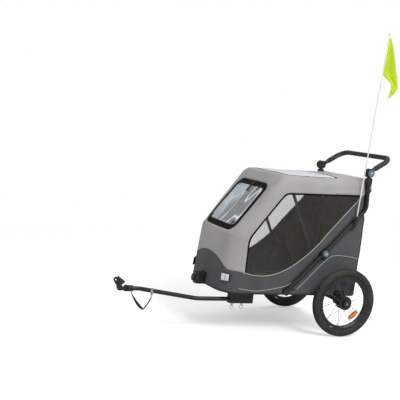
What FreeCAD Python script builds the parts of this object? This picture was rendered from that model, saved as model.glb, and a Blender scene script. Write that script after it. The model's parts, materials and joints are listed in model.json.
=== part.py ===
import FreeCAD, Part
import math
import os
import re

import Sketcher

# A two-wheeled dog trailer for a bicycle: a tube chassis with a folding upper frame, a push handle,
# a soft cabin with windows and flaps, a tow bar with a jointed hitch, and a safety flag.
# Lengths are in millimetres. The part is laid out from the ground point under the middle of the axle,
# +X forwards to the tow bar, +Y to the left, +Z up, and then moved so that its origin is the middle
# of its footprint.

SIZES = {
    # Wheels
    "wheel_diameter": 400.0,
    "track_width": 680.0,
    "tyre_width": 46.0,
    "tyre_height": 44.0,
    "tyre_bulge_height": 20.0,
    "tyre_shoulder_width": 29.0,
    "tyre_shoulder_drop": 5.0,
    "rim_width": 26.0,
    "rim_depth": 18.0,
    "rim_lip": 8.0,
    "rim_bed_width": 12.0,
    "rim_clearance": 0.2,
    "spoke_count": 20,
    "spoke_diameter": 2.2,
    "spoke_end_gap": 0.65,
    "spoke_lean": 12.0,
    "spoke_rim_offset": 3.0,
    "hub_width": 64.0,
    "hub_barrel_diameter": 44.0,
    "hub_flange_diameter": 80.0,
    "hub_flange_thickness": 5.0,
    "hub_flange_spacing": 40.0,
    "hub_bore_diameter": 16.0,
    "hub_cap_diameter": 40.0,
    "hub_cap_height": 6.0,
    "hub_cap_hole": 15.0,
    "bearing_diameter": 28.0,
    "bearing_width": 8.0,
    "wheel_reflector_length": 66.0,
    "wheel_reflector_height": 26.0,
    "wheel_reflector_radius": 105.0,
    "wheel_reflector_clip_radius": 114.0,
    "wheel_reflector_angle": 225.0,
    # Axles and their release buttons
    "axle_diameter": 12.0,
    "axle_collar_diameter": 20.0,
    "axle_end_stand": 4.0,
    "axle_block_depth": 8.0,
    "running_clearance": 0.05,
    "seat_gap": 0.3,
    "axle_button_bore": 7.2,
    "axle_button_diameter": 7.0,
    "axle_button_bore_depth": 16.0,
    "axle_button_depth": 10.0,
    "axle_button_travel": 3.0,
    "axle_button_head_diameter": 11.0,
    "axle_button_head_height": 2.0,
    "axle_block_length": 60.0,
    "axle_block_thickness": 41.0,
    "axle_block_height": 72.0,
    "axle_block_foot": 22.0,
    "axle_block_foot_length": 32.0,
    "axle_block_waist": 37.0,
    "axle_tube_diameter": 26.0,
    # Base frame and floor
    "tube_diameter": 22.0,
    "tube_wall": 1.6,
    "rail_offset": 246.0,
    "rail_height": 238.0,
    "base_front": 712.0,
    "base_rear": 88.0,
    "base_split": 200.0,
    "base_front_bend": 110.0,
    "base_rear_bend": 60.0,
    "cross_tube_front": 594.0,
    "cross_tube_middle": 532.0,
    "cross_tube_rear": 330.0,
    "board_front": 668.0,
    "board_rear": 74.0,
    "board_half_width": 233.0,
    "board_thickness": 6.0,
    "board_corner": 30.0,
    "mat_margin": 8.0,
    "mat_front_margin": 30.0,
    "mat_edge_height": 6.0,
    "mat_shoulder_height": 10.0,
    "mat_crown_height": 15.0,
    "mat_tuck": 6.0,
    "mat_shoulder_inset": 12.0,
    "mat_crown_inset": 90.0,
    "mat_corner": 35.0,
    # Side trusses and fold hinges
    "truss_offset": 272.0,
    "strut_foot_x": 346.0,
    "strut_foot_height": 240.0,
    "strut_foot_diameter": 40.0,
    "fold_x": 126.0,
    "fold_height": 470.0,
    "upright_foot_x": 0.0,
    "hinge_diameter": 52.0,
    "hinge_cap_thickness": 14.8,
    "hinge_split_gap": 0.3,
    "hinge_pin_diameter": 12.0,
    "hinge_pin_reach": 5.0,
    "button_pocket_depth": 8.0,
    "button_pocket_diameter": 24.4,
    "button_stem_diameter": 24.0,
    "button_stem_length": 7.8,
    "button_travel": 3.0,
    "button_stand": 3.3,
    "fold_button_diameter": 37.0,
    "handle_button_diameter": 42.0,
    "button_head_height": 8.0,
    "button_dome": 2.4,
    # Upper frame
    "frame_knee_x": -122.0,
    "frame_knee_height": 740.0,
    "frame_knee_bend": 70.0,
    "rear_bar_drop": 83.0,
    "bow_tube_diameter": 18.0,
    # Push handle
    "handle_x": -110.0,
    "handle_height": 951.0,
    "handle_reach": 176.0,
    "handle_rise": 32.5,
    "handle_half_width": 262.0,
    "handle_bend": 62.0,
    "grip_diameter": 30.0,
    "grip_arm": 44.0,
    # Roof bow and front hoop
    "bow_pivot_x": 170.0,
    "bow_pivot_height": 424.0,
    "bow_top_x": 392.0,
    "bow_top_drop": 26.0,
    "bow_offset": 243.0,
    "bow_bend": 70.0,
    "bow_tail": 16.0,
    "bow_pin_diameter": 10.0,
    "bow_bracket_diameter": 26.0,
    "hoop_pivot_x": 688.0,
    "hoop_pivot_height": 266.0,
    "hoop_top_x": 684.0,
    "hoop_top_height": 528.0,
    "hoop_offset": 144.0,
    "hoop_bend": 60.0,
    "hoop_bracket_length": 26.7,
    "hoop_bracket_drop": 36.0,
    "hoop_bracket_rise": 14.0,
    "hoop_bracket_thickness": 6.0,
    # Tow bar, receiver and lock pins
    "tow_offset": 200.0,
    "tow_height": 178.0,
    "tow_tube_diameter": 24.0,
    "tow_tube_wall": 2.0,
    "tow_rear_end": 530.0,
    "tow_bend_x": 855.0,
    "tow_bend": 150.0,
    "tow_neck_x": 1165.0,
    "tow_neck_bend": 90.0,
    "receiver_rear": 518.0,
    "receiver_front": 666.0,
    "receiver_width": 42.0,
    "receiver_bottom": 158.0,
    "receiver_edge": 6.0,
    "tow_pin_front": 640.0,
    "tow_pin_rear": 580.0,
    "tow_pin_diameter": 8.0,
    "tow_pin_clearance": 0.1,
    "tow_pin_top_gap": 4.0,
    "tow_pin_head_diameter": 16.0,
    "tow_pin_head_height": 7.0,
    "tow_pin_lug_width": 10.0,
    "tow_pin_lug_thickness": 4.0,
    "tow_pin_lug_height": 12.0,
    "tow_pin_eye": 5.0,
    "pin_loop_diameter": 24.0,
    "pin_loop_wire": 3.0,
    # Hitch
    "hitch_offset": 100.0,
    "hitch_height": 205.0,
    "fork_sleeve_length": 24.0,
    "fork_sleeve_diameter": 34.0,
    "fork_end_wall": 5.0,
    "fork_plate_thickness": 6.0,
    "fork_width": 22.0,
    "yaw_axis_x": 1238.0,
    "pitch_axis_x": 1264.0,
    "hitch_pin_diameter": 8.0,
    "hitch_pin_head": 13.0,
    "hitch_pin_head_height": 3.0,
    "knuckle_height": 18.0,
    "knuckle_width": 19.4,
    "hitch_play": 0.3,
    "head_plate_thickness": 5.0,
    "head_eye_diameter": 20.0,
    "head_web_x": 1277.0,
    "head_web_thickness": 6.0,
    "axle_plate_reach": 24.0,
    "axle_plate_diameter": 30.0,
    "axle_plate_rise": 50.0,
    "axle_hole_diameter": 10.5,
    # Safety strap
    "strap_width": 20.0,
    "strap_thickness": 2.2,
    "strap_start_x": 1208.0,
    "strap_fold_x": 1134.0,
    "strap_fold_height": 93.0,
    "strap_fold_radius": 9.0,
    "strap_sway": 12.0,
    "strap_end_gap": 0.7,
    "strap_eye_x": 1094.0,
    "eye_band_width": 14.0,
    "eye_band_thickness": 2.5,
    "eye_lug_height": 9.0,
    "eye_lug_thickness": 4.0,
    "eye_hole_diameter": 6.0,
    "hook_diameter": 20.0,
    "hook_wire": 3.4,
    # Front wheel socket
    "socket_length": 77.0,
    "socket_width": 56.0,
    "socket_height": 62.0,
    "socket_bottom": 222.0,
    "socket_corner": 12.0,
    "socket_bore": 22.0,
    "socket_bore_x": 768.0,
    "socket_notch_gap": 3.0,
    "knob_diameter": 26.0,
    "knob_lobe_diameter": 11.0,
    "knob_lobe_count": 6,
    "knob_thickness": 14.0,
    "knob_stem_diameter": 8.0,
    "knob_stem_length": 16.0,
    # Cabin fabric
    "cloth_thickness": 2.0,
    "cabin_bottom": 226.0,
    "cabin_front": 735.0,
    "cabin_rear": 111.0,
    "cabin_half_width": 275.0,
    "cabin_corner": 110.0,
    "cabin_rear_corner": 24.0,
    "crease_x": 704.0,
    "crease_height": 545.0,
    "crease_rear": 118.0,
    "hip_drop": 114.0,
    "hip_rear": 121.0,
    "roof_height": 898.0,
    "roof_edge": 38.0,
    "roof_front_edge": 6.0,
    "roof_rear_edge": 10.0,
    "roof_front": 461.0,
    "roof_rear": 148.0,
    "roof_corner": 46.0,
    "frame_corridor_gap": 1.6,
    "swoosh_front_x": 640.0,
    "swoosh_front_height": 350.0,
    "swoosh_low_x": 510.0,
    "swoosh_low_height": 329.0,
    "swoosh_turn_x": 330.0,
    "swoosh_turn_height": 389.0,
    "swoosh_rise_x": 227.0,
    "swoosh_rise_height": 467.0,
    "swoosh_run_x": 130.0,
    "swoosh_run_height": 575.0,
    "swoosh_top_x": -60.0,
    "swoosh_top_height": 792.0,
    "swoosh_crest_x": -105.0,
    "swoosh_crest_height": 837.0,
    "swoosh_end_x": -223.0,
    "swoosh_end_height": 862.0,
    "hump_height": 420.0,
    "hump_half_width": 230.0,
    "side_window_front_x": 618.0,
    "side_window_front_height": 536.0,
    "side_window_top_x": 420.0,
    "side_window_top_height": 803.0,
    "side_window_rear_x": -80.0,
    "side_window_rear_height": 820.0,
    "front_window_low": 562.0,
    "front_window_high": 838.0,
    "front_window_half_width": 194.0,
    "front_window_corner": 50.0,
    "roof_window_front": 405.0,
    "roof_window_rear": 56.0,
    "roof_window_half_width": 228.0,
    "roof_window_corner": 40.0,
    "rear_door_low": 268.0,
    "rear_door_high": 836.0,
    "rear_door_half_width": 196.0,
    "rear_door_corner": 40.0,
    "flap_gap": 0.6,
    # Reflectors on the body
    "reflector_width": 58.0,
    "reflector_height": 46.0,
    "reflector_depth": 9.0,
    "reflector_corner": 5.0,
    "front_reflector_height": 308.0,
    "front_reflector_turn": 34.0,
    "rear_reflector_height": 320.0,
    "rear_reflector_offset": 226.0,
    # Flag
    "flag_clamp_length": 24.0,
    "flag_clamp_thickness": 4.2,
    "flag_cup_diameter": 14.0,
    "flag_cup_above": 42.0,
    "flag_cup_below": 24.0,
    "flag_cup_floor": 5.0,
    "flag_pole_diameter": 7.0,
    "flag_pole_length": 1112.0,
    "flag_pole_lean": 3.44,
    "flag_knob_diameter": 15.0,
    "flag_thickness": 1.2,
    "flag_hoist_drop": 17.0,
    "flag_hoist": 220.0,
    "flag_drop": 120.0,
    "flag_breadth": 100.0,
    "flag_fold_depth": 11.0,
    # Overrun of every cutting tool
    "overrun": 40.0,
}

# Where the flag's clamp sits between the fold hinge and the knee of the upper frame
FLAG_CLAMP_SHARE = 0.6895
# How the flag's breadth and folds change from its top to its tip, as shares of its hanging height,
# of its breadth and of its fold depth, with how far its near edge leaves the pole
FLAG_DROP_SHARES = (0.0, 0.15, 0.32, 0.49, 0.63, 0.74, 0.81, 0.91, 1.0)
FLAG_BREADTH_SHARES = (0.1, 0.37, 0.6, 0.8, 1.0, 0.5, 0.51, 0.32, 0.05)
FLAG_FOLD_SHARES = (0.06, 0.22, 0.36, 0.48, 0.6, 0.3, 0.3, 0.19, 0.03)
FLAG_START_SHARES = (0.0, 0.0, 0.0, 0.0, 0.0, 0.6, 0.67, 0.65, 0.61)

# How far round the roof's rounded edge its outline is drawn, as shares of a quarter turn
ROOF_EDGE_SHARES = (0.0, 0.34, 0.67, 1.0)

V = FreeCAD.Vector
X_AXIS = V(1, 0, 0)
Y_AXIS = V(0, 1, 0)
Z_AXIS = V(0, 0, 1)
SIDES = {"left": 1, "right": -1}

doc = FreeCAD.newDocument("dog_trailer")
sheet = doc.addObject("Spreadsheet::Sheet", "Sizes")
for row, (alias, value) in enumerate(SIZES.items(), start=1):
    sheet.set(f"A{row}", alias)
    sheet.set(f"B{row}", str(value))
    sheet.setAlias(f"B{row}", alias)
doc.recompute()

NODES = []


def cell(text):
    """The same expression with each alias read from the sheet."""
    return re.sub(r"\b[a-z][a-z0-9_]*[a-z]\b", lambda word: "Sizes." + word.group(0), text)


def value(text):
    """An expression on the sheet's aliases, as a number."""
    return float(sheet.evalExpression(text))


# Shared places, worked out from the sheet
wheel_radius = value("wheel_diameter / 2")
wheel_plane = value("track_width / 2")
block_inner = value("rail_offset + tube_diameter / 2 + seat_gap")
block_outer = block_inner + sheet.axle_block_thickness
hub_inner = value("track_width / 2 - hub_width / 2")
hub_outer = value("track_width / 2 + hub_width / 2")
axle_end = hub_outer + sheet.axle_end_stand
fold_axis = V(sheet.fold_x, 0, sheet.fold_height)
strut_foot = V(sheet.strut_foot_x, 0, sheet.strut_foot_height)
handle_axis = V(sheet.handle_x, 0, sheet.handle_height)
frame_knee = V(sheet.frame_knee_x, 0, sheet.frame_knee_height)
flag_seat = fold_axis + (frame_knee - fold_axis) * FLAG_CLAMP_SHARE
bow_pivot = V(sheet.bow_pivot_x, 0, sheet.bow_pivot_height)
bow_top = V(sheet.bow_top_x, 0, value("roof_height - bow_top_drop"))
hoop_pivot = V(sheet.hoop_pivot_x, 0, sheet.hoop_pivot_height)
hoop_top = V(sheet.hoop_top_x, 0, sheet.hoop_top_height)
hinge_radius = value("hinge_diameter / 2")
hinge_reach = value("hinge_diameter / 2 + seat_gap")
tube_radius = value("tube_diameter / 2")
handle_run = V(-math.cos(math.radians(sheet.handle_rise)), 0, math.sin(math.radians(sheet.handle_rise)))
hitch_tip = value("head_web_x + axle_plate_reach + axle_plate_diameter / 2")
handle_back = sheet.handle_x + handle_run.x * sheet.handle_reach - value("grip_diameter / 2")
frame_shift = V(-(hitch_tip + handle_back) / 2, 0, 0)
FRAME = FreeCAD.Placement(frame_shift, FreeCAD.Rotation())


def at_side(point, offset):
    """A point of the side view, moved out to an offset from the middle plane."""
    return V(point.x, offset, point.z)


def node(label, shape):
    """A sub-part whose shape is worked out below."""
    made = doc.addObject("Part::Feature", label)
    made.Label = label
    made.Shape = shape
    made.Placement = FRAME.multiply(shape.Placement)
    NODES.append(made)
    return made


def keep(made, label):
    """An object of the document as a sub-part under its own name."""
    made.Label = label
    NODES.append(made)
    return made


def place(made, base, axis=Z_AXIS):
    """Put an object's own Z axis along axis, with its origin at base."""
    turn = FreeCAD.Rotation(Z_AXIS, axis)
    made.Placement = FRAME.multiply(FreeCAD.Placement(base, turn))
    return made


def cylinder(name, diameter, length, base, axis=Z_AXIS):
    made = doc.addObject("Part::Cylinder", name)
    made.setExpression("Radius", f"({cell(diameter)}) / 2")
    made.setExpression("Height", cell(length))
    return place(made, base, axis)


def box(name, length, width, height, corner):
    made = doc.addObject("Part::Box", name)
    made.setExpression("Length", cell(length))
    made.setExpression("Width", cell(width))
    made.setExpression("Height", cell(height))
    return place(made, corner)


def cut(name, base, tools):
    joined = tools[0]
    if len(tools) > 1:
        joined = doc.addObject("Part::MultiFuse", name + "_tools")
        joined.Shapes = tools
    made = doc.addObject("Part::Cut", name)
    made.Base = base
    made.Tool = joined
    return made


def round_upright_edges(name, base, radius):
    """Fillet the edges of a box that stand along its own Z axis."""
    doc.recompute()
    made = doc.addObject("Part::Fillet", name)
    made.Base = base
    upright = []
    for number, edge in enumerate(base.Shape.Edges, start=1):
        along = edge.tangentAt(edge.FirstParameter)
        if abs(along.dot(base.Placement.Rotation.multVec(Z_AXIS))) > 0.99:
            upright.append((number, value(radius), value(radius)))
    made.Edges = upright
    return made


def group(label, members):
    made = doc.addObject("Part::Compound", label)
    made.Links = members
    return keep(made, label)


def new_body(name, base):
    body = doc.addObject("PartDesign::Body", name)
    body.Placement = FRAME.multiply(FreeCAD.Placement(base, FreeCAD.Rotation()))
    return body


def sketch_on(body, role, lift=0.0):
    sketch = body.newObject("Sketcher::SketchObject", body.Name + "_sketch")
    plane = next(origin for origin in body.Origin.OriginFeatures if origin.Role == role)
    sketch.AttachmentSupport = [(plane, "")]
    sketch.MapMode = "FlatFace"
    sketch.AttachmentOffset = FreeCAD.Placement(V(0, 0, lift), FreeCAD.Rotation())
    return sketch


def bound_outline(sketch, points):
    """A closed outline whose corners are tied to the sheet, given as pairs of expressions."""
    first = sketch.GeometryCount
    places = [V(value(across), value(up), 0) for across, up in points]
    count = len(points)
    for index, start in enumerate(places):
        sketch.addGeometry(Part.LineSegment(start, places[(index + 1) % count]), False)
    for index in range(count):
        after = first + (index + 1) % count
        sketch.addConstraint(Sketcher.Constraint("Coincident", first + index, 2, after, 1))
    for index, (across, up) in enumerate(points):
        for kind, text in (("DistanceX", across), ("DistanceY", up)):
            rule = Sketcher.Constraint(kind, -1, 1, first + index, 1, value(text))
            number = sketch.addConstraint(rule)
            sketch.setExpression(f"Constraints[{number}]", cell(text))


def bound_circle(sketch, across, up, diameter):
    """A circle whose centre and size are tied to the sheet."""
    centre = V(value(across), value(up), 0)
    index = sketch.addGeometry(Part.Circle(centre, Z_AXIS, value(diameter) / 2), False)
    rules = (
        (Sketcher.Constraint("DistanceX", -1, 1, index, 3, centre.x), across),
        (Sketcher.Constraint("DistanceY", -1, 1, index, 3, centre.y), up),
        (Sketcher.Constraint("Diameter", index, value(diameter)), diameter),
    )
    for rule, text in rules:
        number = sketch.addConstraint(rule)
        sketch.setExpression(f"Constraints[{number}]", cell(text))


def turned(name, points, base=V(0, 0, 0)):
    """A piece turned about the Y axis through base, from pairs of place along Y and radius."""
    body = new_body(name, base)
    sketch = sketch_on(body, "YZ_Plane")
    bound_outline(sketch, points)
    made = body.newObject("PartDesign::Revolution", name + "_turn")
    made.Profile = sketch
    made.ReferenceAxis = (sketch, ["H_Axis"])
    made.Angle = 360
    return body


def plate(name, points, far_side, thickness, holes=()):
    """A plate drawn in the side view, from the plane y = far_side towards -Y."""
    body = new_body(name, V(0, 0, 0))
    sketch = sketch_on(body, "XZ_Plane", -far_side)
    bound_outline(sketch, points)
    for across, up, diameter in holes:
        bound_circle(sketch, across, up, diameter)
    made = body.newObject("PartDesign::Pad", name + "_pad")
    made.Profile = sketch
    made.setExpression("Length", cell(thickness))
    return body


def rounded_path(points, bends):
    """Straight runs joined by tangent arcs, one bend radius for each inner point."""
    edges = []
    start = points[0]
    for before, corner, after, bend in zip(points, points[1:], points[2:], bends):
        back = (before - corner).normalize()
        ahead = (after - corner).normalize()
        half = back.getAngle(ahead) / 2
        setback = bend / math.tan(half)
        entry = corner + back * setback
        leave = corner + ahead * setback
        inward = (back + ahead).normalize()
        middle = corner + inward * (bend / math.sin(half) - bend)
        edges.append(Part.LineSegment(start, entry).toShape())
        edges.append(Part.Arc(entry, middle, leave).toShape())
        start = leave
    edges.append(Part.LineSegment(start, points[-1]).toShape())
    return Part.Wire(edges)


def rod(path, diameter):
    first = path.Edges[0]
    ahead = first.tangentAt(first.FirstParameter)
    ring = Part.Wire(Part.makeCircle(diameter / 2, first.valueAt(first.FirstParameter), ahead))
    return path.makePipeShell([ring], True, False)


def tube(points, bends, diameter, wall):
    path = rounded_path(points, bends)
    return rod(path, diameter).cut(rod(path, diameter - 2 * wall)).Solids[0]


def drum(centre, radius, low, high):
    """A plain cylinder along Y about a point of the side view, for cuts and bosses."""
    return Part.makeCylinder(radius, high - low, V(centre.x, low, centre.z), Y_AXIS)


def pipe_between(start, end, diameter, wall):
    """A straight hollow tube."""
    run = end - start
    outer = Part.makeCylinder(diameter / 2, run.Length, start, run)
    return outer.cut(Part.makeCylinder(diameter / 2 - wall, run.Length, start, run))


# Wheels
def tyre(label, side):
    s = sheet
    bead = s.rim_width / 2
    seat = wheel_radius - s.tyre_height
    bulge = seat + s.tyre_bulge_height
    shoulder = s.tyre_shoulder_width / 2
    edge = wheel_radius - s.tyre_shoulder_drop
    body = new_body(label, V(0, side * wheel_plane, wheel_radius))
    sketch = sketch_on(body, "YZ_Plane")
    for sign in (1, -1):
        middle = V(sign * s.tyre_width / 2, bulge, 0)
        wall = Part.Arc(V(sign * bead, seat, 0), middle, V(sign * shoulder, edge, 0))
        sketch.addGeometry(wall, False)
    sketch.addGeometry(Part.Arc(V(shoulder, edge, 0), V(0, wheel_radius, 0), V(-shoulder, edge, 0)), False)
    sketch.addGeometry(Part.LineSegment(V(bead, seat, 0), V(-bead, seat, 0)), False)
    made = body.newObject("PartDesign::Revolution", label + "_turn")
    made.Profile = sketch
    made.ReferenceAxis = (sketch, ["H_Axis"])
    made.Angle = 360
    keep(body, label)


def rim(label, side):
    outer = "(wheel_diameter / 2 - tyre_height - rim_clearance)"
    points = [
        ("-rim_width / 2", outer),
        ("rim_width / 2", outer),
        ("rim_width / 2", outer + " - rim_lip"),
        ("rim_bed_width / 2", outer + " - rim_depth"),
        ("-rim_bed_width / 2", outer + " - rim_depth"),
        ("-rim_width / 2", outer + " - rim_lip"),
    ]
    keep(turned(label, points, V(0, side * wheel_plane, wheel_radius)), label)


def hub(label, side):
    half = "hub_width / 2"
    barrel = "hub_barrel_diameter / 2"
    flange = "hub_flange_diameter / 2"
    near = "(hub_flange_spacing - hub_flange_thickness) / 2"
    far = "(hub_flange_spacing + hub_flange_thickness) / 2"
    pocket = "bearing_diameter / 2"
    stop = "hub_width / 2 - bearing_width"
    points = [
        ("-" + half, pocket), ("-" + half, barrel), ("-" + far, barrel), ("-" + far, flange),
        ("-" + near, flange), ("-" + near, barrel), (near, barrel), (near, flange),
        (far, flange), (far, barrel), (half, barrel), (half, "hub_cap_diameter / 2"),
        (half + " + hub_cap_height", "hub_cap_diameter / 2"),
        (half + " + hub_cap_height", "hub_cap_hole / 2"),
        (half, "hub_cap_hole / 2"), (half, pocket), (stop, pocket), (stop, "hub_bore_diameter / 2"),
        (f"-({stop})", "hub_bore_diameter / 2"), (f"-({stop})", pocket),
    ]
    faced = [(f"{side} * ({along})", radius) for along, radius in points]
    keep(turned(label, faced, V(0, side * wheel_plane, wheel_radius)), label)


def bearings(label, side):
    inner = value("axle_diameter / 2 + running_clearance")
    outer = value("bearing_diameter / 2 - running_clearance")
    rings = []
    for low in (hub_inner, hub_outer - sheet.bearing_width):
        base = V(0, side * low, wheel_radius)
        ring = Part.makeCylinder(outer, sheet.bearing_width, base, Y_AXIS * side)
        rings.append(ring.cut(Part.makeCylinder(inner, sheet.bearing_width, base, Y_AXIS * side)))
    node(label, Part.makeCompound(rings))


def spoke_ends(turn, flank):
    """Where one spoke leaves the hub flange and where it meets the rim, about the wheel's centre."""
    s = sheet
    near = value("hub_flange_diameter / 2 + spoke_end_gap")
    far = value("wheel_diameter / 2 - tyre_height - rim_clearance - rim_depth - spoke_end_gap")
    lean = math.radians(s.spoke_lean) * flank
    start = V(near * math.cos(turn), flank * s.hub_flange_spacing / 2, near * math.sin(turn))
    end = V(far * math.cos(turn + lean), flank * s.spoke_rim_offset, far * math.sin(turn + lean))
    return start, end


def spokes(label, side):
    centre = V(0, side * wheel_plane, wheel_radius)
    wires = []
    count = int(sheet.spoke_count)
    for index in range(count):
        start, end = spoke_ends(2 * math.pi * index / count, 1 if index % 2 else -1)
        run = end - start
        wires.append(Part.makeCylinder(sheet.spoke_diameter / 2, run.Length, centre + start, run))
    node(label, Part.makeCompound(wires))


def wheel_reflector(label, side):
    s = sheet
    start, end = spoke_ends(0.0, 1)
    reach = math.hypot(end.x, end.z) - math.hypot(start.x, start.z)
    share = (s.wheel_reflector_clip_radius - math.hypot(start.x, start.z)) / reach
    room = start.y + (end.y - start.y) * share - s.spoke_diameter / 2 - s.seat_gap
    oval = Part.Ellipse(V(0, 0, 0), s.wheel_reflector_length / 2, s.wheel_reflector_height / 2).toShape()
    lens = Part.Face(Part.Wire(oval)).extrude(Z_AXIS * (2 * room))
    lens.translate(V(0, -s.wheel_reflector_radius, -room))
    lens.rotate(V(0, 0, 0), X_AXIS, 90)
    lens.rotate(V(0, 0, 0), Y_AXIS, -s.wheel_reflector_angle - 90)
    lens.translate(V(0, side * wheel_plane, wheel_radius))
    node(label, lens)


def axle(name, side):
    end = "(track_width / 2 + hub_width / 2 + axle_end_stand)"
    root = "(rail_offset + tube_diameter / 2 + seat_gap + axle_block_depth)"
    block = "(rail_offset + tube_diameter / 2 + seat_gap + axle_block_thickness + seat_gap)"
    hub_face = "(track_width / 2 - hub_width / 2 - seat_gap)"
    points = [
        (root, "0"), (root, "axle_diameter / 2"), (block, "axle_diameter / 2"),
        (block, "axle_collar_diameter / 2"), (hub_face, "axle_collar_diameter / 2"),
        (hub_face, "axle_diameter / 2"), (end, "axle_diameter / 2"), (end, "axle_button_bore / 2"),
        (end + " - axle_button_bore_depth", "axle_button_bore / 2"),
        (end + " - axle_button_bore_depth", "0"),
    ]
    faced = [(f"{side} * ({along})", radius) for along, radius in points]
    return turned(name, faced, V(0, 0, wheel_radius))


def axle_button(label, side):
    end = "(track_width / 2 + hub_width / 2 + axle_end_stand)"
    head = end + " + axle_button_travel + seat_gap"
    points = [
        (end + " - axle_button_depth", "0"), (end + " - axle_button_depth", "axle_button_diameter / 2"),
        (head, "axle_button_diameter / 2"), (head, "axle_button_head_diameter / 2"),
        (head + " + axle_button_head_height", "axle_button_head_diameter / 2"),
        (head + " + axle_button_head_height", "0"),
    ]
    faced = [(f"{side} * ({along})", radius) for along, radius in points]
    keep(turned(label, faced, V(0, 0, wheel_radius)), label)


def axle_block(name, side):
    top = "wheel_diameter / 2 - axle_block_foot + axle_block_height"
    waist = "wheel_diameter / 2 - axle_block_foot + axle_block_waist"
    foot = "wheel_diameter / 2 - axle_block_foot"
    points = [
        ("-axle_block_length / 2", top), ("axle_block_length / 2", top),
        ("axle_block_length / 2", waist), ("axle_block_foot_length / 2", foot),
        ("-axle_block_foot_length / 2", foot), ("-axle_block_length / 2", waist),
    ]
    bore = ("0", "wheel_diameter / 2", "axle_diameter + 2 * running_clearance")
    far_side = block_outer if side > 0 else -block_inner
    return plate(name, points, far_side, "axle_block_thickness", [bore])


def build_wheels():
    for name, side in SIDES.items():
        tyre(name + "_tyre", side)
        rim(name + "_rim", side)
        hub(name + "_hub", side)
        bearings(name + "_bearings", side)
        spokes(name + "_spokes", side)
        wheel_reflector(name + "_wheel_reflector", side)
        axle_button(name + "_axle_button", side)
    group("axles", [axle(name + "_axle", side) for name, side in SIDES.items()])
    group("axle_blocks", [axle_block(name + "_axle_block", side) for name, side in SIDES.items()])


# Base frame and floor
def base_loop(label, end, bend):
    s = sheet
    rail = [V(s.base_split, s.rail_offset, s.rail_height), V(end, s.rail_offset, s.rail_height)]
    points = rail + [V(place.x, -place.y, place.z) for place in reversed(rail)]
    node(label, tube(points, [bend, bend], s.tube_diameter, s.tube_wall))


def cross_tubes(label):
    s = sheet
    half = value("rail_offset - tube_diameter / 2 - seat_gap")
    tubes = []
    for across in (s.cross_tube_front, s.cross_tube_middle, s.cross_tube_rear):
        ends = [V(across, sign * half, s.rail_height) for sign in (-1, 1)]
        tubes.append(pipe_between(*ends, s.tube_diameter, s.tube_wall))
    ends = [V(0, sign * (block_inner - s.seat_gap), wheel_radius) for sign in (-1, 1)]
    tubes.append(pipe_between(*ends, s.axle_tube_diameter, s.tube_wall))
    node(label, Part.makeCompound(tubes))


def floor_board(label):
    body = new_body(label, V(0, 0, sheet.rail_height + tube_radius + sheet.seat_gap))
    sketch = sketch_on(body, "XY_Plane")
    points = [
        ("-board_rear", "-board_half_width"), ("board_front - board_corner", "-board_half_width"),
        ("board_front", "-board_half_width + board_corner"),
        ("board_front", "board_half_width - board_corner"),
        ("board_front - board_corner", "board_half_width"), ("-board_rear", "board_half_width"),
    ]
    bound_outline(sketch, points)
    made = body.newObject("PartDesign::Pad", label + "_pad")
    made.Profile = sketch
    made.setExpression("Length", cell("board_thickness"))
    keep(body, label)


def rounded_ring(rear, front, half_width, front_corner, rear_corner, height):
    """A level rounded rectangle, as four straight edges and four corner arcs."""
    def corner(x, y, sign_x, sign_y, radius):
        middle = V(x - sign_x * radius, y - sign_y * radius, height)
        swing = radius * math.sqrt(0.5)
        along_x = V(x, middle.y, height)
        along_y = V(middle.x, y, height)
        bulge = middle + V(sign_x * swing, sign_y * swing, 0)
        return along_x, bulge, along_y

    left_front = corner(front, half_width, 1, 1, front_corner)
    left_rear = corner(rear, half_width, -1, 1, rear_corner)
    right_rear = corner(rear, -half_width, -1, -1, rear_corner)
    right_front = corner(front, -half_width, 1, -1, front_corner)
    arcs = [left_front, left_rear[::-1], right_rear, right_front[::-1]]
    edges = []
    for index, (start, bulge, end) in enumerate(arcs):
        edges.append(Part.Arc(start, bulge, end).toShape())
        edges.append(Part.LineSegment(end, arcs[(index + 1) % len(arcs)][0]).toShape())
    return Part.Wire(edges)


def floor_mat(label):
    s = sheet
    floor = value("rail_height + tube_diameter / 2 + 2 * seat_gap + board_thickness")
    rear = -s.board_rear + s.mat_margin
    front = s.board_front - s.mat_front_margin
    half = s.board_half_width - s.mat_margin
    levels = (
        (0.0, s.mat_tuck),
        (s.mat_edge_height, 0.0),
        (s.mat_shoulder_height, s.mat_shoulder_inset),
        (s.mat_crown_height, s.mat_crown_inset),
    )
    rings = []
    for lift, inset in levels:
        corner = s.mat_corner + inset
        rings.append(rounded_ring(rear + inset, front - inset, half - inset, corner, corner, floor + lift))
    node(label, Part.makeLoft(rings, True, True))


def build_base():
    base_loop("base_front_tube", sheet.base_front, sheet.base_front_bend)
    base_loop("base_rear_tube", -sheet.base_rear, sheet.base_rear_bend)
    cross_tubes("cross_tubes")
    floor_board("floor_board")
    floor_mat("floor_mat")


# Side trusses, fold hinges and the frame above them
def frame_clearances(side):
    """Drums about the strut foot, the fold hinge and the handle hinge that tubes stop short of."""
    s = sheet
    low = side * s.truss_offset - s.overrun
    high = side * s.truss_offset + s.overrun
    foot = drum(strut_foot, value("strut_foot_diameter / 2 + seat_gap"), low, high)
    fold = drum(fold_axis, hinge_reach, low, high)
    handle = drum(handle_axis, hinge_reach, low, high)
    return foot, fold, handle


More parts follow.
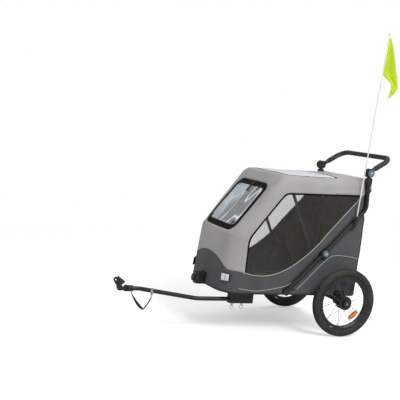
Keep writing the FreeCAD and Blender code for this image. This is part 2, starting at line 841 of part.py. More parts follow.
def side_trusses(label):
    s = sheet
    members = []
    for side in SIDES.values():
        foot, fold, _ = frame_clearances(side)
        out = side * s.truss_offset
        strut = tube([at_side(strut_foot, out), at_side(fold_axis, out)], [], s.tube_diameter, s.tube_wall)
        members.append(strut.cut(foot).cut(fold).Solids[0])
        faces = sorted((side * block_inner, side * (s.truss_offset + tube_radius)))
        members.append(drum(strut_foot, value("strut_foot_diameter / 2"), *faces))
        inner = side * s.rail_offset
        low = V(s.upright_foot_x, inner, s.rail_height)
        upright = tube([low, at_side(fold_axis, inner)], [], s.tube_diameter, s.tube_wall)
        rail = Part.makeCylinder(tube_radius + s.seat_gap, 2 * s.overrun, low - X_AXIS * s.overrun, X_AXIS)
        boss = drum(fold_axis, hinge_reach, inner - s.overrun, inner + s.overrun)
        members.append(upright.cut(rail).cut(boss).Solids[0])
    node(label, Part.makeCompound(members))


def hinge_seat(name, side):
    """The fixed half of a fold hinge: a boss with a pin that the turning half sits on."""
    inner = "(rail_offset - tube_diameter / 2)"
    face = "(truss_offset - hinge_split_gap / 2)"
    pin_end = "(truss_offset + hinge_pin_reach)"
    points = [
        (inner, "0"), (inner, "hinge_diameter / 2"), (face, "hinge_diameter / 2"),
        (face, "hinge_pin_diameter / 2"), (pin_end, "hinge_pin_diameter / 2"), (pin_end, "0"),
    ]
    faced = [(f"{side} * ({along})", radius) for along, radius in points]
    return turned(name, faced, fold_axis)


def hinge_shell(name, side, base):
    """The outer half of a hinge, with a bore on its inner face and a button pocket on its outer one."""
    face = "(truss_offset + hinge_split_gap / 2)"
    outer = face + " + hinge_cap_thickness"
    floor = outer + " - button_pocket_depth"
    bore = "hinge_pin_diameter / 2 + running_clearance"
    bore_end = "(truss_offset + hinge_pin_reach + seat_gap)"
    points = [
        (face, bore), (face, "hinge_diameter / 2"), (outer, "hinge_diameter / 2"),
        (outer, "button_pocket_diameter / 2"), (floor, "button_pocket_diameter / 2"),
        (floor, "0"), (bore_end, "0"), (bore_end, bore),
    ]
    faced = [(f"{side} * ({along})", radius) for along, radius in points]
    return turned(name, faced, base)


def hinge_button(label, side, base, diameter):
    """A domed push button with its stem in the hinge's pocket."""
    outer = "(truss_offset + hinge_split_gap / 2 + hinge_cap_thickness)"
    head = outer + " + button_stand"
    top = head + " + button_head_height"
    stem = head + " - button_stem_length"
    points = [
        (stem, "0"), (stem, "button_stem_diameter / 2"), (head, "button_stem_diameter / 2"),
        (head, diameter + " / 2"), (top + " - button_dome", diameter + " / 2"),
        (top, diameter + " / 2 - button_dome"), (top, "0"),
    ]
    faced = [(f"{side} * ({along})", radius) for along, radius in points]
    keep(turned(label, faced, base), label)


def handle_seat(name, side):
    """The handle's half of its hinge, inside the frame's half, with the hinge's pin on it."""
    outer = "(truss_offset - hinge_split_gap / 2)"
    inner = "(truss_offset - hinge_split_gap / 2 - hinge_cap_thickness)"
    pin_end = "(truss_offset + hinge_pin_reach)"
    points = [
        (inner, "0"), (inner, "hinge_diameter / 2"), (outer, "hinge_diameter / 2"),
        (outer, "hinge_pin_diameter / 2"), (pin_end, "hinge_pin_diameter / 2"), (pin_end, "0"),
    ]
    faced = [(f"{side} * ({along})", radius) for along, radius in points]
    return turned(name, faced, handle_axis)


def upper_frame(label):
    s = sheet
    members = []
    for side in SIDES.values():
        _, fold, handle = frame_clearances(side)
        points = [at_side(place, side * s.truss_offset) for place in (fold_axis, frame_knee, handle_axis)]
        bent = tube(points, [s.frame_knee_bend], s.tube_diameter, s.tube_wall)
        members.append(bent.cut(fold).cut(handle).Solids[0])
    post = (handle_axis - frame_knee).normalize()
    bar = handle_axis - post * s.rear_bar_drop
    half = s.truss_offset - tube_radius - s.seat_gap
    ends = [at_side(bar, sign * half) for sign in (-1, 1)]
    members.append(pipe_between(*ends, s.bow_tube_diameter, s.tube_wall))
    node(label, Part.makeCompound(members))


def push_handle():
    s = sheet
    corner = handle_axis + handle_run * s.handle_reach
    start = handle_axis + handle_run * hinge_radius
    cuff = handle_axis + handle_run * s.grip_arm
    half = s.handle_half_width

    def loop(first):
        return [at_side(first, half), at_side(corner, half), at_side(corner, -half), at_side(first, -half)]

    bends = [s.handle_bend, s.handle_bend]
    bar = tube(loop(start), bends, s.tube_diameter, s.tube_wall)
    for side in SIDES.values():
        bar = bar.cut(frame_clearances(side)[2])
    node("handle_bar", bar.Solids[0])
    sleeve = rod(rounded_path(loop(cuff), bends), s.grip_diameter)
    bore = rod(rounded_path(loop(cuff), bends), s.tube_diameter + 2 * s.running_clearance)
    node("handle_grip", sleeve.cut(bore).Solids[0])
    group("handle_hinge_seats", [handle_seat(name + "_handle_seat", side) for name, side in SIDES.items()])


def build_frame():
    side_trusses("side_trusses")
    upper_frame("upper_frame")
    push_handle()
    group("fold_hinge_seats", [hinge_seat(name + "_fold_seat", side) for name, side in SIDES.items()])
    caps = [hinge_shell(name + "_fold_cap", side, fold_axis) for name, side in SIDES.items()]
    group("fold_hinge_caps", caps)
    caps = [hinge_shell(name + "_handle_cap", side, handle_axis) for name, side in SIDES.items()]
    group("handle_hinge_caps", caps)
    for name, side in SIDES.items():
        hinge_button(name + "_fold_button", side, fold_axis, "fold_button_diameter")
        hinge_button(name + "_handle_button", side, handle_axis, "handle_button_diameter")


# Roof bow and front hoop, which fold inside the cabin
def hollow_arch(foot, top, offset, bend):
    """An arch of bow tube with a pin hole near the end of each leg."""
    s = sheet
    along = (top - foot).normalize()
    tail = foot - along * s.bow_tail
    points = [at_side(tail, offset), at_side(top, offset), at_side(top, -offset), at_side(tail, -offset)]
    arch = tube(points, [bend, bend], s.bow_tube_diameter, s.tube_wall)
    reach = offset + s.overrun
    hole = drum(foot, value("bow_pin_diameter / 2 + running_clearance"), -reach, reach)
    return arch.cut(hole).Solids[0]


def bow_bracket(side):
    """A round boss on the strut's inner side, with the pin that the roof bow turns on."""
    s = sheet
    tube_half = s.bow_tube_diameter / 2
    outer = s.truss_offset - tube_radius - s.seat_gap
    face = s.bow_offset + tube_half + s.seat_gap
    pin_end = s.bow_offset - tube_half
    boss = drum(bow_pivot, s.bow_bracket_diameter / 2, *sorted((side * face, side * outer)))
    pin = drum(bow_pivot, s.bow_pin_diameter / 2, *sorted((side * pin_end, side * face)))
    return boss.fuse(pin)


def hoop_bracket(side):
    """A cheek behind the front tube, with the pin that the front hoop turns on."""
    s = sheet
    tube_half = s.bow_tube_diameter / 2
    face = s.hoop_offset - tube_half - s.seat_gap
    back = face - s.hoop_bracket_thickness
    front = s.base_front - tube_radius - s.seat_gap
    low = s.hoop_pivot_height - s.hoop_bracket_drop
    tall = s.hoop_bracket_drop + s.hoop_bracket_rise
    corner = V(front - s.hoop_bracket_length, min(side * face, side * back), low)
    cheek = Part.makeBox(s.hoop_bracket_length, s.hoop_bracket_thickness, tall, corner)
    near, far = sorted((side * face, side * (s.hoop_offset + tube_half)))
    pin = drum(hoop_pivot, s.bow_pin_diameter / 2, near, far)
    return cheek.fuse(pin)


def build_bows():
    s = sheet
    node("roof_bow", hollow_arch(bow_pivot, bow_top, s.bow_offset, s.bow_bend))
    node("front_hoop", hollow_arch(hoop_pivot, hoop_top, s.hoop_offset, s.hoop_bend))
    node("bow_brackets", Part.makeCompound([bow_bracket(side) for side in SIDES.values()]))
    node("hoop_brackets", Part.makeCompound([hoop_bracket(side) for side in SIDES.values()]))


# Tow bar, its receiver, and the hitch
def tow_points():
    s = sheet
    end = s.yaw_axis_x - s.fork_width / 2 - s.fork_end_wall
    return [
        V(s.tow_rear_end, s.tow_offset, s.tow_height),
        V(s.tow_bend_x, s.tow_offset, s.tow_height),
        V(s.tow_neck_x, s.hitch_offset, s.hitch_height),
        V(end, s.hitch_offset, s.hitch_height),
    ]


def tow_bar(label):
    s = sheet
    bar = tube(tow_points(), [s.tow_bend, s.tow_neck_bend], s.tow_tube_diameter, s.tow_tube_wall)
    for across in (s.tow_pin_front, s.tow_pin_rear):
        base = V(across, s.tow_offset, s.tow_height - s.overrun)
        hole = value("tow_pin_diameter / 2 + tow_pin_clearance")
        bar = bar.cut(Part.makeCylinder(hole, 2 * s.overrun, base))
    node(label, bar.Solids[0])


def tow_receiver(label):
    top = "(rail_height - tube_diameter / 2 - seat_gap)"
    side = sheet.tow_offset - sheet.receiver_width / 2
    corner = V(sheet.receiver_rear, side, sheet.receiver_bottom)
    long = "receiver_front - receiver_rear"
    block = box("receiver_block", long, "receiver_width", top + " - receiver_bottom", corner)
    rounded = round_upright_edges("receiver_body", block, "receiver_edge")
    bore = "tow_tube_diameter + 2 * running_clearance"
    deep = "receiver_front - tow_rear_end + overrun"
    mouth = V(sheet.tow_rear_end, sheet.tow_offset, sheet.tow_height)
    socket = cylinder("receiver_socket", bore, deep, mouth, X_AXIS)
    tools = [socket]
    for name in ("front", "rear"):
        base = V(value("tow_pin_" + name), sheet.tow_offset, sheet.receiver_bottom - sheet.overrun)
        tall = top + " - tow_pin_top_gap + seat_gap - receiver_bottom + overrun"
        wide = "tow_pin_diameter + 2 * tow_pin_clearance"
        tools.append(cylinder(f"receiver_{name}_pin_hole", wide, tall, base))
    keep(cut("tow_receiver_cut", rounded, tools), label)


def tow_pin(label, across):
    """A lock pin with a head and a lug under the receiver, and a wire pull loop through the lug."""
    s = sheet
    seat = s.receiver_bottom - s.seat_gap
    top = value("rail_height - tube_diameter / 2 - seat_gap - tow_pin_top_gap")
    middle = V(across, s.tow_offset, seat)
    shank = Part.makeCylinder(s.tow_pin_diameter / 2, top - seat, middle)
    under = middle - Z_AXIS * s.tow_pin_head_height
    head = Part.makeCylinder(s.tow_pin_head_diameter / 2, s.tow_pin_head_height, under)
    thick = s.tow_pin_lug_thickness
    drop = s.tow_pin_head_height + s.tow_pin_lug_height
    corner = middle + V(-thick / 2, -s.tow_pin_lug_width / 2, -drop)
    lug = Part.makeBox(thick, s.tow_pin_lug_width, s.tow_pin_lug_height, corner)
    eye = middle - Z_AXIS * (s.tow_pin_head_height + s.tow_pin_lug_height / 2)
    hole = Part.makeCylinder(s.tow_pin_eye / 2, 2 * s.overrun, eye - X_AXIS * s.overrun, X_AXIS)
    pin = shank.fuse([head, lug]).cut(hole)
    ring = (s.pin_loop_diameter - s.pin_loop_wire) / 2
    loop = Part.makeTorus(ring, s.pin_loop_wire / 2, eye - Z_AXIS * ring, Y_AXIS)
    node(label, Part.makeCompound([pin, loop]))


def hitch_fork(label):
    """A sleeve on the tow bar's end with a level fork, and the upright pin through the fork."""
    s = sheet
    y, z = s.hitch_offset, s.hitch_height
    tube_end = tow_points()[-1].x
    sleeve_rear = tube_end - s.fork_sleeve_length
    sleeve_run = s.fork_sleeve_length + s.fork_end_wall - s.seat_gap
    sleeve = Part.makeCylinder(s.fork_sleeve_diameter / 2, sleeve_run, V(sleeve_rear, y, z), X_AXIS)
    room = s.knuckle_height / 2 + s.hitch_play
    plates = []
    for low in (z - room - s.fork_plate_thickness, z + room):
        bar = Part.makeBox(s.yaw_axis_x - tube_end, s.fork_width, s.fork_plate_thickness,
                           V(tube_end, y - s.fork_width / 2, low))
        eye = Part.makeCylinder(s.fork_width / 2, s.fork_plate_thickness, V(s.yaw_axis_x, y, low))
        plates.append(bar.fuse(eye))
    fork = sleeve.fuse(plates)
    bore = value("tow_tube_diameter / 2 + running_clearance")
    fork = fork.cut(Part.makeCylinder(bore, s.fork_sleeve_length + s.seat_gap, V(sleeve_rear, y, z), X_AXIS))
    gap = Part.makeCylinder(s.fork_width / 2, 2 * room, V(s.yaw_axis_x, y, z - room))
    fork = fork.cut(gap)
    reach = room + s.fork_plate_thickness
    foot = V(s.yaw_axis_x, y, z - reach)
    hole = Part.makeCylinder(value("hitch_pin_diameter / 2 + running_clearance"), 2 * reach, foot)
    pin = Part.makeCylinder(s.hitch_pin_diameter / 2, 2 * reach, foot)
    cap = Part.makeCylinder(s.hitch_pin_head / 2, s.hitch_pin_head_height, foot + Z_AXIS * (2 * reach))
    node(label, Part.makeCompound([fork.cut(hole).Solids[0], pin.fuse(cap)]))


def hitch_knuckle(label):
    """The block between the fork and the head, bored upright for one pin and across for the other."""
    s = sheet
    y, z = s.hitch_offset, s.hitch_height
    run = s.pitch_axis_x - s.yaw_axis_x
    half = s.knuckle_height / 2
    bore = value("hitch_pin_diameter / 2 + running_clearance")
    rear = Part.makeCylinder(s.knuckle_width / 2, s.knuckle_height, V(s.yaw_axis_x, y, z - half))
    corner = V(s.yaw_axis_x, y - s.knuckle_width / 2, z - half)
    web = Part.makeBox(run, s.knuckle_width, s.knuckle_height, corner)
    nose = Part.makeCylinder(half, s.knuckle_width, V(s.pitch_axis_x, y - s.knuckle_width / 2, z), Y_AXIS)
    block = rear.fuse([web, nose])
    block = block.cut(Part.makeCylinder(bore, s.knuckle_height, V(s.yaw_axis_x, y, z - half)))
    across = Part.makeCylinder(bore, s.knuckle_width, V(s.pitch_axis_x, y - s.knuckle_width / 2, z), Y_AXIS)
    node(label, block.cut(across).Solids[0])


def hitch_head(label):
    """Two cheeks on the cross pin, a web, and the plate that goes on a bicycle's axle."""
    s = sheet
    y, z = s.hitch_offset, s.hitch_height
    thick = s.head_plate_thickness
    room = s.knuckle_width / 2 + s.hitch_play
    eye = s.head_eye_diameter / 2
    web_front = s.head_web_x + s.head_web_thickness
    members = []
    for low in (y - room - thick, y + room):
        members.append(Part.makeCylinder(eye, thick, V(s.pitch_axis_x, low, z), Y_AXIS))
        corner = V(s.pitch_axis_x, low, z - eye)
        members.append(Part.makeBox(web_front - s.pitch_axis_x, thick, 2 * eye, corner))
    corner = V(s.head_web_x, y - room - thick, z - eye)
    web = Part.makeBox(s.head_web_thickness, 2 * (room + thick), 2 * eye, corner)
    hole_x = s.head_web_x + s.axle_plate_reach
    hole_foot = V(hole_x, y + room, z + s.axle_plate_rise)
    boss = Part.makeCylinder(s.axle_plate_diameter / 2, thick, hole_foot, Y_AXIS)
    root = V(s.head_web_x, y + room, z)
    across = Y_AXIS.cross(hole_foot - root).normalize() * (s.axle_plate_diameter / 2)
    edge = [root + Z_AXIS * eye, hole_foot - across, hole_foot + across, root - Z_AXIS * eye]
    arm = Part.Face(Part.makePolygon(edge + edge[:1])).extrude(Y_AXIS * thick)
    body = web.fuse(members + [boss, arm])
    hole = Part.makeCylinder(s.axle_hole_diameter / 2, thick, hole_foot, Y_AXIS)
    width = 2 * (room + thick)
    base = V(s.pitch_axis_x, y - room - thick, z)
    bore = Part.makeCylinder(value("hitch_pin_diameter / 2 + running_clearance"), width, base, Y_AXIS)
    pin = Part.makeCylinder(s.hitch_pin_diameter / 2, width, base, Y_AXIS)
    cap = Part.makeCylinder(s.hitch_pin_head / 2, s.hitch_pin_head_height, base + Y_AXIS * width, Y_AXIS)
    node(label, Part.makeCompound([body.cut([hole, bore]).Solids[0], pin.fuse(cap)]))


def strap_parts():
    """The webbing strap under the hitch, and the ring and eye that hold its rear end to the tow bar."""
    s = sheet
    bend, neck = tow_points()[1:3]
    along = (neck - bend).normalize()
    seat = bend + along * ((s.strap_eye_x - bend.x) / along.x)
    radius = s.tow_tube_diameter / 2 + s.running_clearance
    rear = seat - along * (s.eye_band_width / 2)
    band = Part.makeCylinder(radius + s.eye_band_thickness, s.eye_band_width, rear, along)
    drop = radius + s.eye_band_thickness + s.eye_lug_height
    corner = seat + V(-s.eye_band_width / 2, -s.eye_lug_thickness / 2, -drop)
    lug = Part.makeBox(s.eye_band_width, s.eye_lug_thickness, drop, corner)
    bore = Part.makeCylinder(radius, 4 * s.eye_band_width, rear - along * s.eye_band_width, along)
    eye = seat - Z_AXIS * (drop - s.eye_lug_height / 2)
    hole = Part.makeCylinder(s.eye_hole_diameter / 2, 2 * s.overrun, eye - Y_AXIS * s.overrun, Y_AXIS)
    ring = (s.hook_diameter - s.hook_wire) / 2
    hook = Part.makeTorus(ring, s.hook_wire / 2, eye - Z_AXIS * ring, X_AXIS)
    node("strap_eye", Part.makeCompound([band.fuse(lug).cut([bore, hole]).Solids[0], hook]))

    start = V(s.strap_start_x, s.hitch_offset, s.hitch_height - s.fork_sleeve_diameter / 2 - s.strap_end_gap)
    end = eye - Z_AXIS * (2 * ring + s.hook_wire / 2 + s.strap_end_gap)
    share = (s.strap_start_x - s.strap_fold_x) / (s.strap_start_x - end.x)
    fold = V(s.strap_fold_x, start.y + (end.y - start.y) * share, s.strap_fold_height)
    middle = (start + fold) * 0.5 + V(s.strap_sway, 0, 0)
    lower = (fold + end) * 0.5 - V(s.strap_sway, 0, 0) * 0.5
    points = [start, middle, fold, lower, end]
    bends = [largest_bend(points, 1), s.strap_fold_radius, largest_bend(points, 3)]
    path = rounded_path(points, bends)
    first = path.Edges[0]
    ahead = first.tangentAt(first.FirstParameter)
    wide = V(end.y - start.y, start.x - end.x, 0).normalize() * (s.strap_width / 2)
    deep = ahead.cross(wide).normalize() * (s.strap_thickness / 2)
    loop = [start + wide + deep, start - wide + deep, start - wide - deep, start + wide - deep]
    web = path.makePipeShell([Part.makePolygon(loop + loop[:1])], True, False)
    node("safety_strap", web.Solids[0])


def largest_bend(points, index, run_share=0.4):
    """The largest bend that the two runs beside a point leave room for."""
    before = points[index - 1] - points[index]
    after = points[index + 1] - points[index]
    return run_share * min(before.Length, after.Length) * math.tan(before.getAngle(after) / 2)


def build_towing():
    tow_bar("tow_bar")
    tow_receiver("tow_receiver")
    tow_pin("front_tow_pin", sheet.tow_pin_front)
    tow_pin("rear_tow_pin", sheet.tow_pin_rear)
    hitch_fork("hitch_fork")
    hitch_knuckle("hitch_knuckle")
    hitch_head("hitch_head")
    strap_parts()


# Front wheel socket and its knob
def socket_rear():
    return value("base_front + tube_diameter / 2 + seat_gap")


def front_socket(label):
    s = sheet
    corner = V(socket_rear(), -s.socket_width / 2, s.socket_bottom)
    block = box("socket_block", "socket_length", "socket_width", "socket_height", corner)
    rounded = round_upright_edges("socket_body", block, "socket_corner")
    base = V(s.socket_bore_x, 0, s.socket_bottom - s.overrun)
    bore = cylinder("socket_bore_tool", "socket_bore", "socket_height + 2 * overrun", base)
    middle = s.socket_bottom + s.socket_height / 2
    stem = V(socket_rear() + s.socket_length - s.knob_stem_length, 0, middle)
    wide = "knob_stem_diameter + 2 * running_clearance"
    hole = cylinder("socket_knob_hole", wide, "knob_stem_length + overrun", stem, X_AXIS)
    keep(cut("front_socket_cut", rounded, [bore, hole]), label)


def socket_knob(label):
    s = sheet
    front = socket_rear() + s.socket_length
    middle = V(front + s.seat_gap, 0, s.socket_bottom + s.socket_height / 2)
    grip = Part.makeCylinder(s.knob_diameter / 2, s.knob_thickness, middle, X_AXIS)
    count = int(s.knob_lobe_count)
    lobes = []
    for index in range(count):
        turn = 2 * math.pi * index / count
        spot = middle + V(0, math.cos(turn), math.sin(turn)) * (s.knob_diameter / 2)
        lobes.append(Part.makeCylinder(s.knob_lobe_diameter / 2, s.knob_thickness, spot, X_AXIS))
    length = s.knob_stem_length - s.seat_gap
    stem = Part.makeCylinder(s.knob_stem_diameter / 2, length, middle - X_AXIS * length, X_AXIS)
    node(label, grip.fuse(lobes + [stem]).removeSplitter())


# Cabin fabric
def cabin_levels():
    """Height, rear, front, half width and front corner of the cabin at each level of its outline."""
    s = sheet
    edge_start = s.roof_height - s.roof_edge
    slope = (s.roof_front - s.crease_x) / (edge_start - s.crease_height)

    def slant(height):
        return s.crease_x + slope * (height - s.crease_height)

    levels = [
        (s.cabin_bottom, -s.cabin_rear, s.cabin_front, s.cabin_half_width, s.cabin_corner),
        (s.crease_height, -s.crease_rear, s.crease_x, s.cabin_half_width, s.cabin_corner),
    ]
    hip = edge_start - s.hip_drop
    hip_share = (hip - s.crease_height) / (edge_start - s.crease_height)
    hip_corner = s.cabin_corner + (s.roof_corner - s.cabin_corner) * hip_share
    levels.append((hip, -s.hip_rear, slant(hip), s.cabin_half_width, hip_corner))
    for share in ROOF_EDGE_SHARES:
        turn = math.radians(90) * share
        inset = 1 - math.cos(turn)
        height = edge_start + s.roof_edge * math.sin(turn)
        rear = s.roof_rear_edge * inset - s.roof_rear
        front = slant(height) - s.roof_front_edge * inset
        levels.append((height, rear, front, s.cabin_half_width - s.roof_edge * inset, s.roof_corner))
    return levels


def cabin_front_at(height):
    """How far forward the cabin's front reaches below its crease."""
    s = sheet
    share = (height - s.cabin_bottom) / (s.crease_height - s.cabin_bottom)
    return s.cabin_front + (s.crease_x - s.cabin_front) * share


def cabin_rear_at(height):
    """How far back the cabin's rear wall reaches below its crease."""
    s = sheet
    share = (height - s.cabin_bottom) / (s.crease_height - s.cabin_bottom)
    return -s.cabin_rear + (s.cabin_rear - s.crease_rear) * share


def cabin_skin():
    s = sheet
    wall = s.cloth_thickness
    outer, inner = [], []
    levels = cabin_levels()
    for index, (height, rear, front, half, corner) in enumerate(levels):
        outer.append(rounded_ring(rear, front, half, corner, s.cabin_rear_corner, height))
        level = height - wall if index == len(levels) - 1 else height
        inside = (rear + wall, front - wall, half - wall, corner - wall, s.cabin_rear_corner - wall)
        if index == 0:
            inner.append(rounded_ring(*inside, height - wall))
        else:
            inner.append(rounded_ring(*inside, level))
    return Part.makeLoft(outer, True, True).cut(Part.makeLoft(inner, True, True))


def side_view_prism(edges, low, high):
    """A region of the side view, given by its edges, spread from y = low to y = high."""
    face = Part.Face(Part.Wire(edges))
    face.translate(Y_AXIS * low)
    return face.extrude(Y_AXIS * (high - low))


def polygon_edges(points):
    return [Part.LineSegment(a, b).toShape() for a, b in zip(points, points[1:])]


def side_point(name):
    return V(value(name + "_x"), 0, value(name + "_height"))


def dark_zone():
    """The space of the dark lower cloth: below the side swoosh, and below the hump on the front."""
    s = sheet
    front, low, turn = side_point("swoosh_front"), side_point("swoosh_low"), side_point("swoosh_turn")
    rise, run, top = side_point("swoosh_rise"), side_point("swoosh_run"), side_point("swoosh_top")
    crest, end = side_point("swoosh_crest"), side_point("swoosh_end")
    below = s.cabin_bottom - s.overrun
    edges = [
        Part.Arc(front, low, turn).toShape(),
        Part.Arc(turn, rise, run).toShape(),
        Part.LineSegment(run, top).toShape(),
        Part.Arc(top, crest, end).toShape(),
    ]
    edges += polygon_edges([end, V(end.x, 0, below), V(front.x, 0, below), front])
    wide = s.cabin_half_width + s.overrun
    sides = side_view_prism(edges, -wide, wide)
    base = front.z
    left = V(front.x, s.hump_half_width, base)
    right = V(front.x, -s.hump_half_width, base)
    hump = [Part.Arc(right, V(front.x, 0, s.hump_height), left).toShape()]
    outline = [left, V(front.x, wide, base), V(front.x, wide, below), V(front.x, -wide, below),
               V(front.x, -wide, base), right]
    nose = Part.Face(Part.Wire(hump + polygon_edges(outline)))
    reach = s.cabin_front + s.overrun - front.x
    return sides.fuse(nose.extrude(X_AXIS * reach))


def rounded_window(across, half, low, high, corner, depth):
    """A rounded upright opening seen along X, from x = across, as deep as depth."""
    ring = rounded_ring(low, high, half, corner, corner, 0)
    ring.rotate(V(0, 0, 0), Y_AXIS, -90)
    ring.translate(X_AXIS * across)
    return Part.Face(ring).extrude(X_AXIS * depth)


def front_window_zone(inset):
    s = sheet
    across = s.roof_front - s.overrun
    half = s.front_window_half_width - inset
    low, high = s.front_window_low + inset, s.front_window_high - inset
    depth = s.cabin_front + s.overrun - across
    return rounded_window(across, half, low, high, s.front_window_corner, depth)


def rear_door_zone(inset):
    s = sheet
    across = -s.roof_rear - s.overrun
    half = s.rear_door_half_width - inset
    low, high = s.rear_door_low + inset, s.rear_door_high - inset
    depth = s.overrun - s.cabin_rear - across
    return rounded_window(across, half, low, high, s.rear_door_corner, depth)


def roof_window_zone(inset):
    s = sheet
    rear, front = s.roof_window_rear + inset, s.roof_window_front - inset
    half = s.roof_window_half_width - inset
    corner = s.roof_window_corner
    ring = rounded_ring(rear, front, half, corner, corner, s.roof_height - s.overrun)
    return Part.Face(ring).extrude(Z_AXIS * (2 * s.overrun))


def side_window_zone():
    """The space of both side windows above the dark cloth."""
    s = sheet
    front, top = side_point("side_window_front"), side_point("side_window_top")
    rear = side_point("side_window_rear")
    low = s.cabin_bottom
    edges = polygon_edges([V(front.x, 0, low), front, top, rear, V(rear.x, 0, low), V(front.x, 0, low)])
    inner = s.cabin_half_width - s.roof_edge
    outer = s.cabin_half_width + s.overrun
    left = side_view_prism(edges, inner, outer)
    right = side_view_prism(edges, -outer, -inner)
    return left, right


def frame_corridor():
    """The room that the outer frame tubes and their hinges need in the side cloth."""
    s = sheet
    gap = s.frame_corridor_gap
    reach = tube_radius + gap
    corners = [strut_foot, fold_axis, frame_knee, handle_axis]
    path = rounded_path(corners, [s.frame_knee_bend, s.frame_knee_bend])
    slot = Part.Face(path.makeOffset2D(reach))
    hinge = Part.Wire(Part.makeCircle(hinge_radius + gap, fold_axis, Y_AXIS))
    half = s.strut_foot_diameter / 2 + gap
    corners = [V(-half, 0, half), V(half, 0, half), V(half, 0, -s.overrun), V(-half, 0, -s.overrun)]
    foot = [strut_foot + corner for corner in corners + corners[:1]]
    slot = slot.fuse([Part.Face(hinge), Part.Face(Part.Wire(polygon_edges(foot)))])
    slot = slot.removeSplitter().Faces[0]
    room = []
    for side in SIDES.values():
        out = side * s.truss_offset
        near, far = sorted((out - side * reach, out + side * s.overrun))
        room.append(slot.translated(Y_AXIS * near).extrude(Y_AXIS * (far - near)))
    return room


def socket_notch():
    s = sheet
    half = s.socket_width / 2 + s.socket_notch_gap
    top = s.socket_bottom + s.socket_height + s.socket_notch_gap
    low = s.cabin_bottom - s.overrun
    return Part.makeBox(2 * s.overrun, 2 * half, top - low, V(s.cabin_front - s.overrun, -half, low))


def axle_notch():
    s = sheet
    gap = s.frame_corridor_gap
    half = s.axle_block_length / 2 + gap
    top = wheel_radius - s.axle_block_foot + s.axle_block_height + gap
    low = s.cabin_bottom - s.overrun
    wide = s.cabin_half_width + s.overrun
    return Part.makeBox(2 * half, 2 * wide, top - low, V(-half, -wide, low))


def build_cabin():
    s = sheet
    skin = cabin_skin()
    dark = dark_zone()
    left_window, right_window = side_window_zone()
    corridor = frame_corridor()
    openings = [front_window_zone(0), rear_door_zone(0), roof_window_zone(0)]
    lower = skin.common(dark).cut(corridor + openings + [socket_notch(), axle_notch()])
    pieces = sorted(lower.Solids, key=lambda solid: -solid.Volume)
    front_piece = max(pieces[:2], key=lambda solid: solid.CenterOfMass.x)
    rear_pieces = [solid for solid in pieces if not solid.isSame(front_piece)]
    node("lower_panel", front_piece)
    node("rear_panel", Part.makeCompound(rear_pieces))
    canopy = skin.cut([dark, left_window, right_window] + corridor + openings)
    node("canopy", Part.makeCompound(canopy.Solids))
    screens = []
    for zone in (left_window, right_window):
        screens.extend(skin.common(zone).cut([dark] + corridor).Solids)
    node("side_screens", Part.makeCompound(screens))
    node("front_window", skin.common(front_window_zone(s.flap_gap)).Solids[0])
    node("roof_window", skin.common(roof_window_zone(s.flap_gap)).Solids[0])
    node("rear_door", skin.common(rear_door_zone(s.flap_gap)).Solids[0])


def build_reflectors():
    s = sheet
    height = s.front_reflector_height
    turn = math.radians(s.front_reflector_turn)
    front_x = cabin_front_at(height) - s.cabin_corner
    lean = (s.cabin_front - s.crease_x) / (s.crease_height - s.cabin_bottom)
    tilt = FreeCAD.Rotation(Y_AXIS, -math.degrees(math.atan(lean * math.cos(turn))))
    lenses = []
    for name, side in SIDES.items():
        lens = box(name + "_front_lens", "reflector_depth", "reflector_width", "reflector_height", V(0, 0, 0))
        seat = V(math.cos(turn), side * math.sin(turn), 0) * (s.cabin_corner + s.seat_gap)
        middle = V(front_x, side * (s.cabin_half_width - s.cabin_corner), height) + seat
        swing = FreeCAD.Rotation(Z_AXIS, side * s.front_reflector_turn)
        local = FreeCAD.Placement(V(0, -s.reflector_width / 2, -s.reflector_height / 2), FreeCAD.Rotation())
        lens.Placement = FRAME.multiply(FreeCAD.Placement(middle, swing.multiply(tilt))).multiply(local)
        lenses.append(round_upright_edges(name + "_front_lens_round", lens, "reflector_corner / 2"))
    group("front_reflectors", lenses)
    lenses = []
    back = cabin_rear_at(s.rear_reflector_height + s.reflector_height / 2) - s.seat_gap - s.reflector_depth
    for name, side in SIDES.items():
        low = s.rear_reflector_height - s.reflector_height / 2
        corner = V(back, side * s.rear_reflector_offset - s.reflector_height / 2, low)
        lens = box(name + "_rear_lens", "reflector_depth", "reflector_height", "reflector_height", corner)
        lenses.append(round_upright_edges(name + "_rear_lens_round", lens, "reflector_corner / 2"))
    group("rear_reflectors", lenses)


# Flag
def lean_flag(shape):
    """Tip an upright flag shape back about the foot of its pole."""
    s = sheet
    shape.rotate(flag_foot(), Y_AXIS, -s.flag_pole_lean)
    return shape


def flag_offset():
    return value("truss_offset + tube_diameter / 2 + flag_clamp_thickness + flag_cup_diameter / 2")


def flag_foot():
    """The middle of the bottom of the cup that holds the pole."""
    return V(flag_seat.x, flag_offset(), flag_seat.z - sheet.flag_cup_below)


def flag_socket(label):
    s = sheet
    y = flag_offset()
    cup_height = s.flag_cup_below + s.flag_cup_above
    foot = flag_foot()
    cup = lean_flag(Part.makeCylinder(s.flag_cup_diameter / 2, cup_height, foot))
    inner = value("truss_offset + tube_diameter / 2 + seat_gap")
    half = s.flag_clamp_length / 2
    corner = V(flag_seat.x - half, inner, flag_seat.z - half)
    clamp = Part.makeBox(s.flag_clamp_length, y - inner, s.flag_clamp_length, corner)
    bore_foot = foot + Z_AXIS * s.flag_cup_floor
    bore = value("flag_pole_diameter / 2 + running_clearance")
    hole = lean_flag(Part.makeCylinder(bore, cup_height, bore_foot))
    node(label, cup.fuse(clamp).cut(hole).Solids[0])


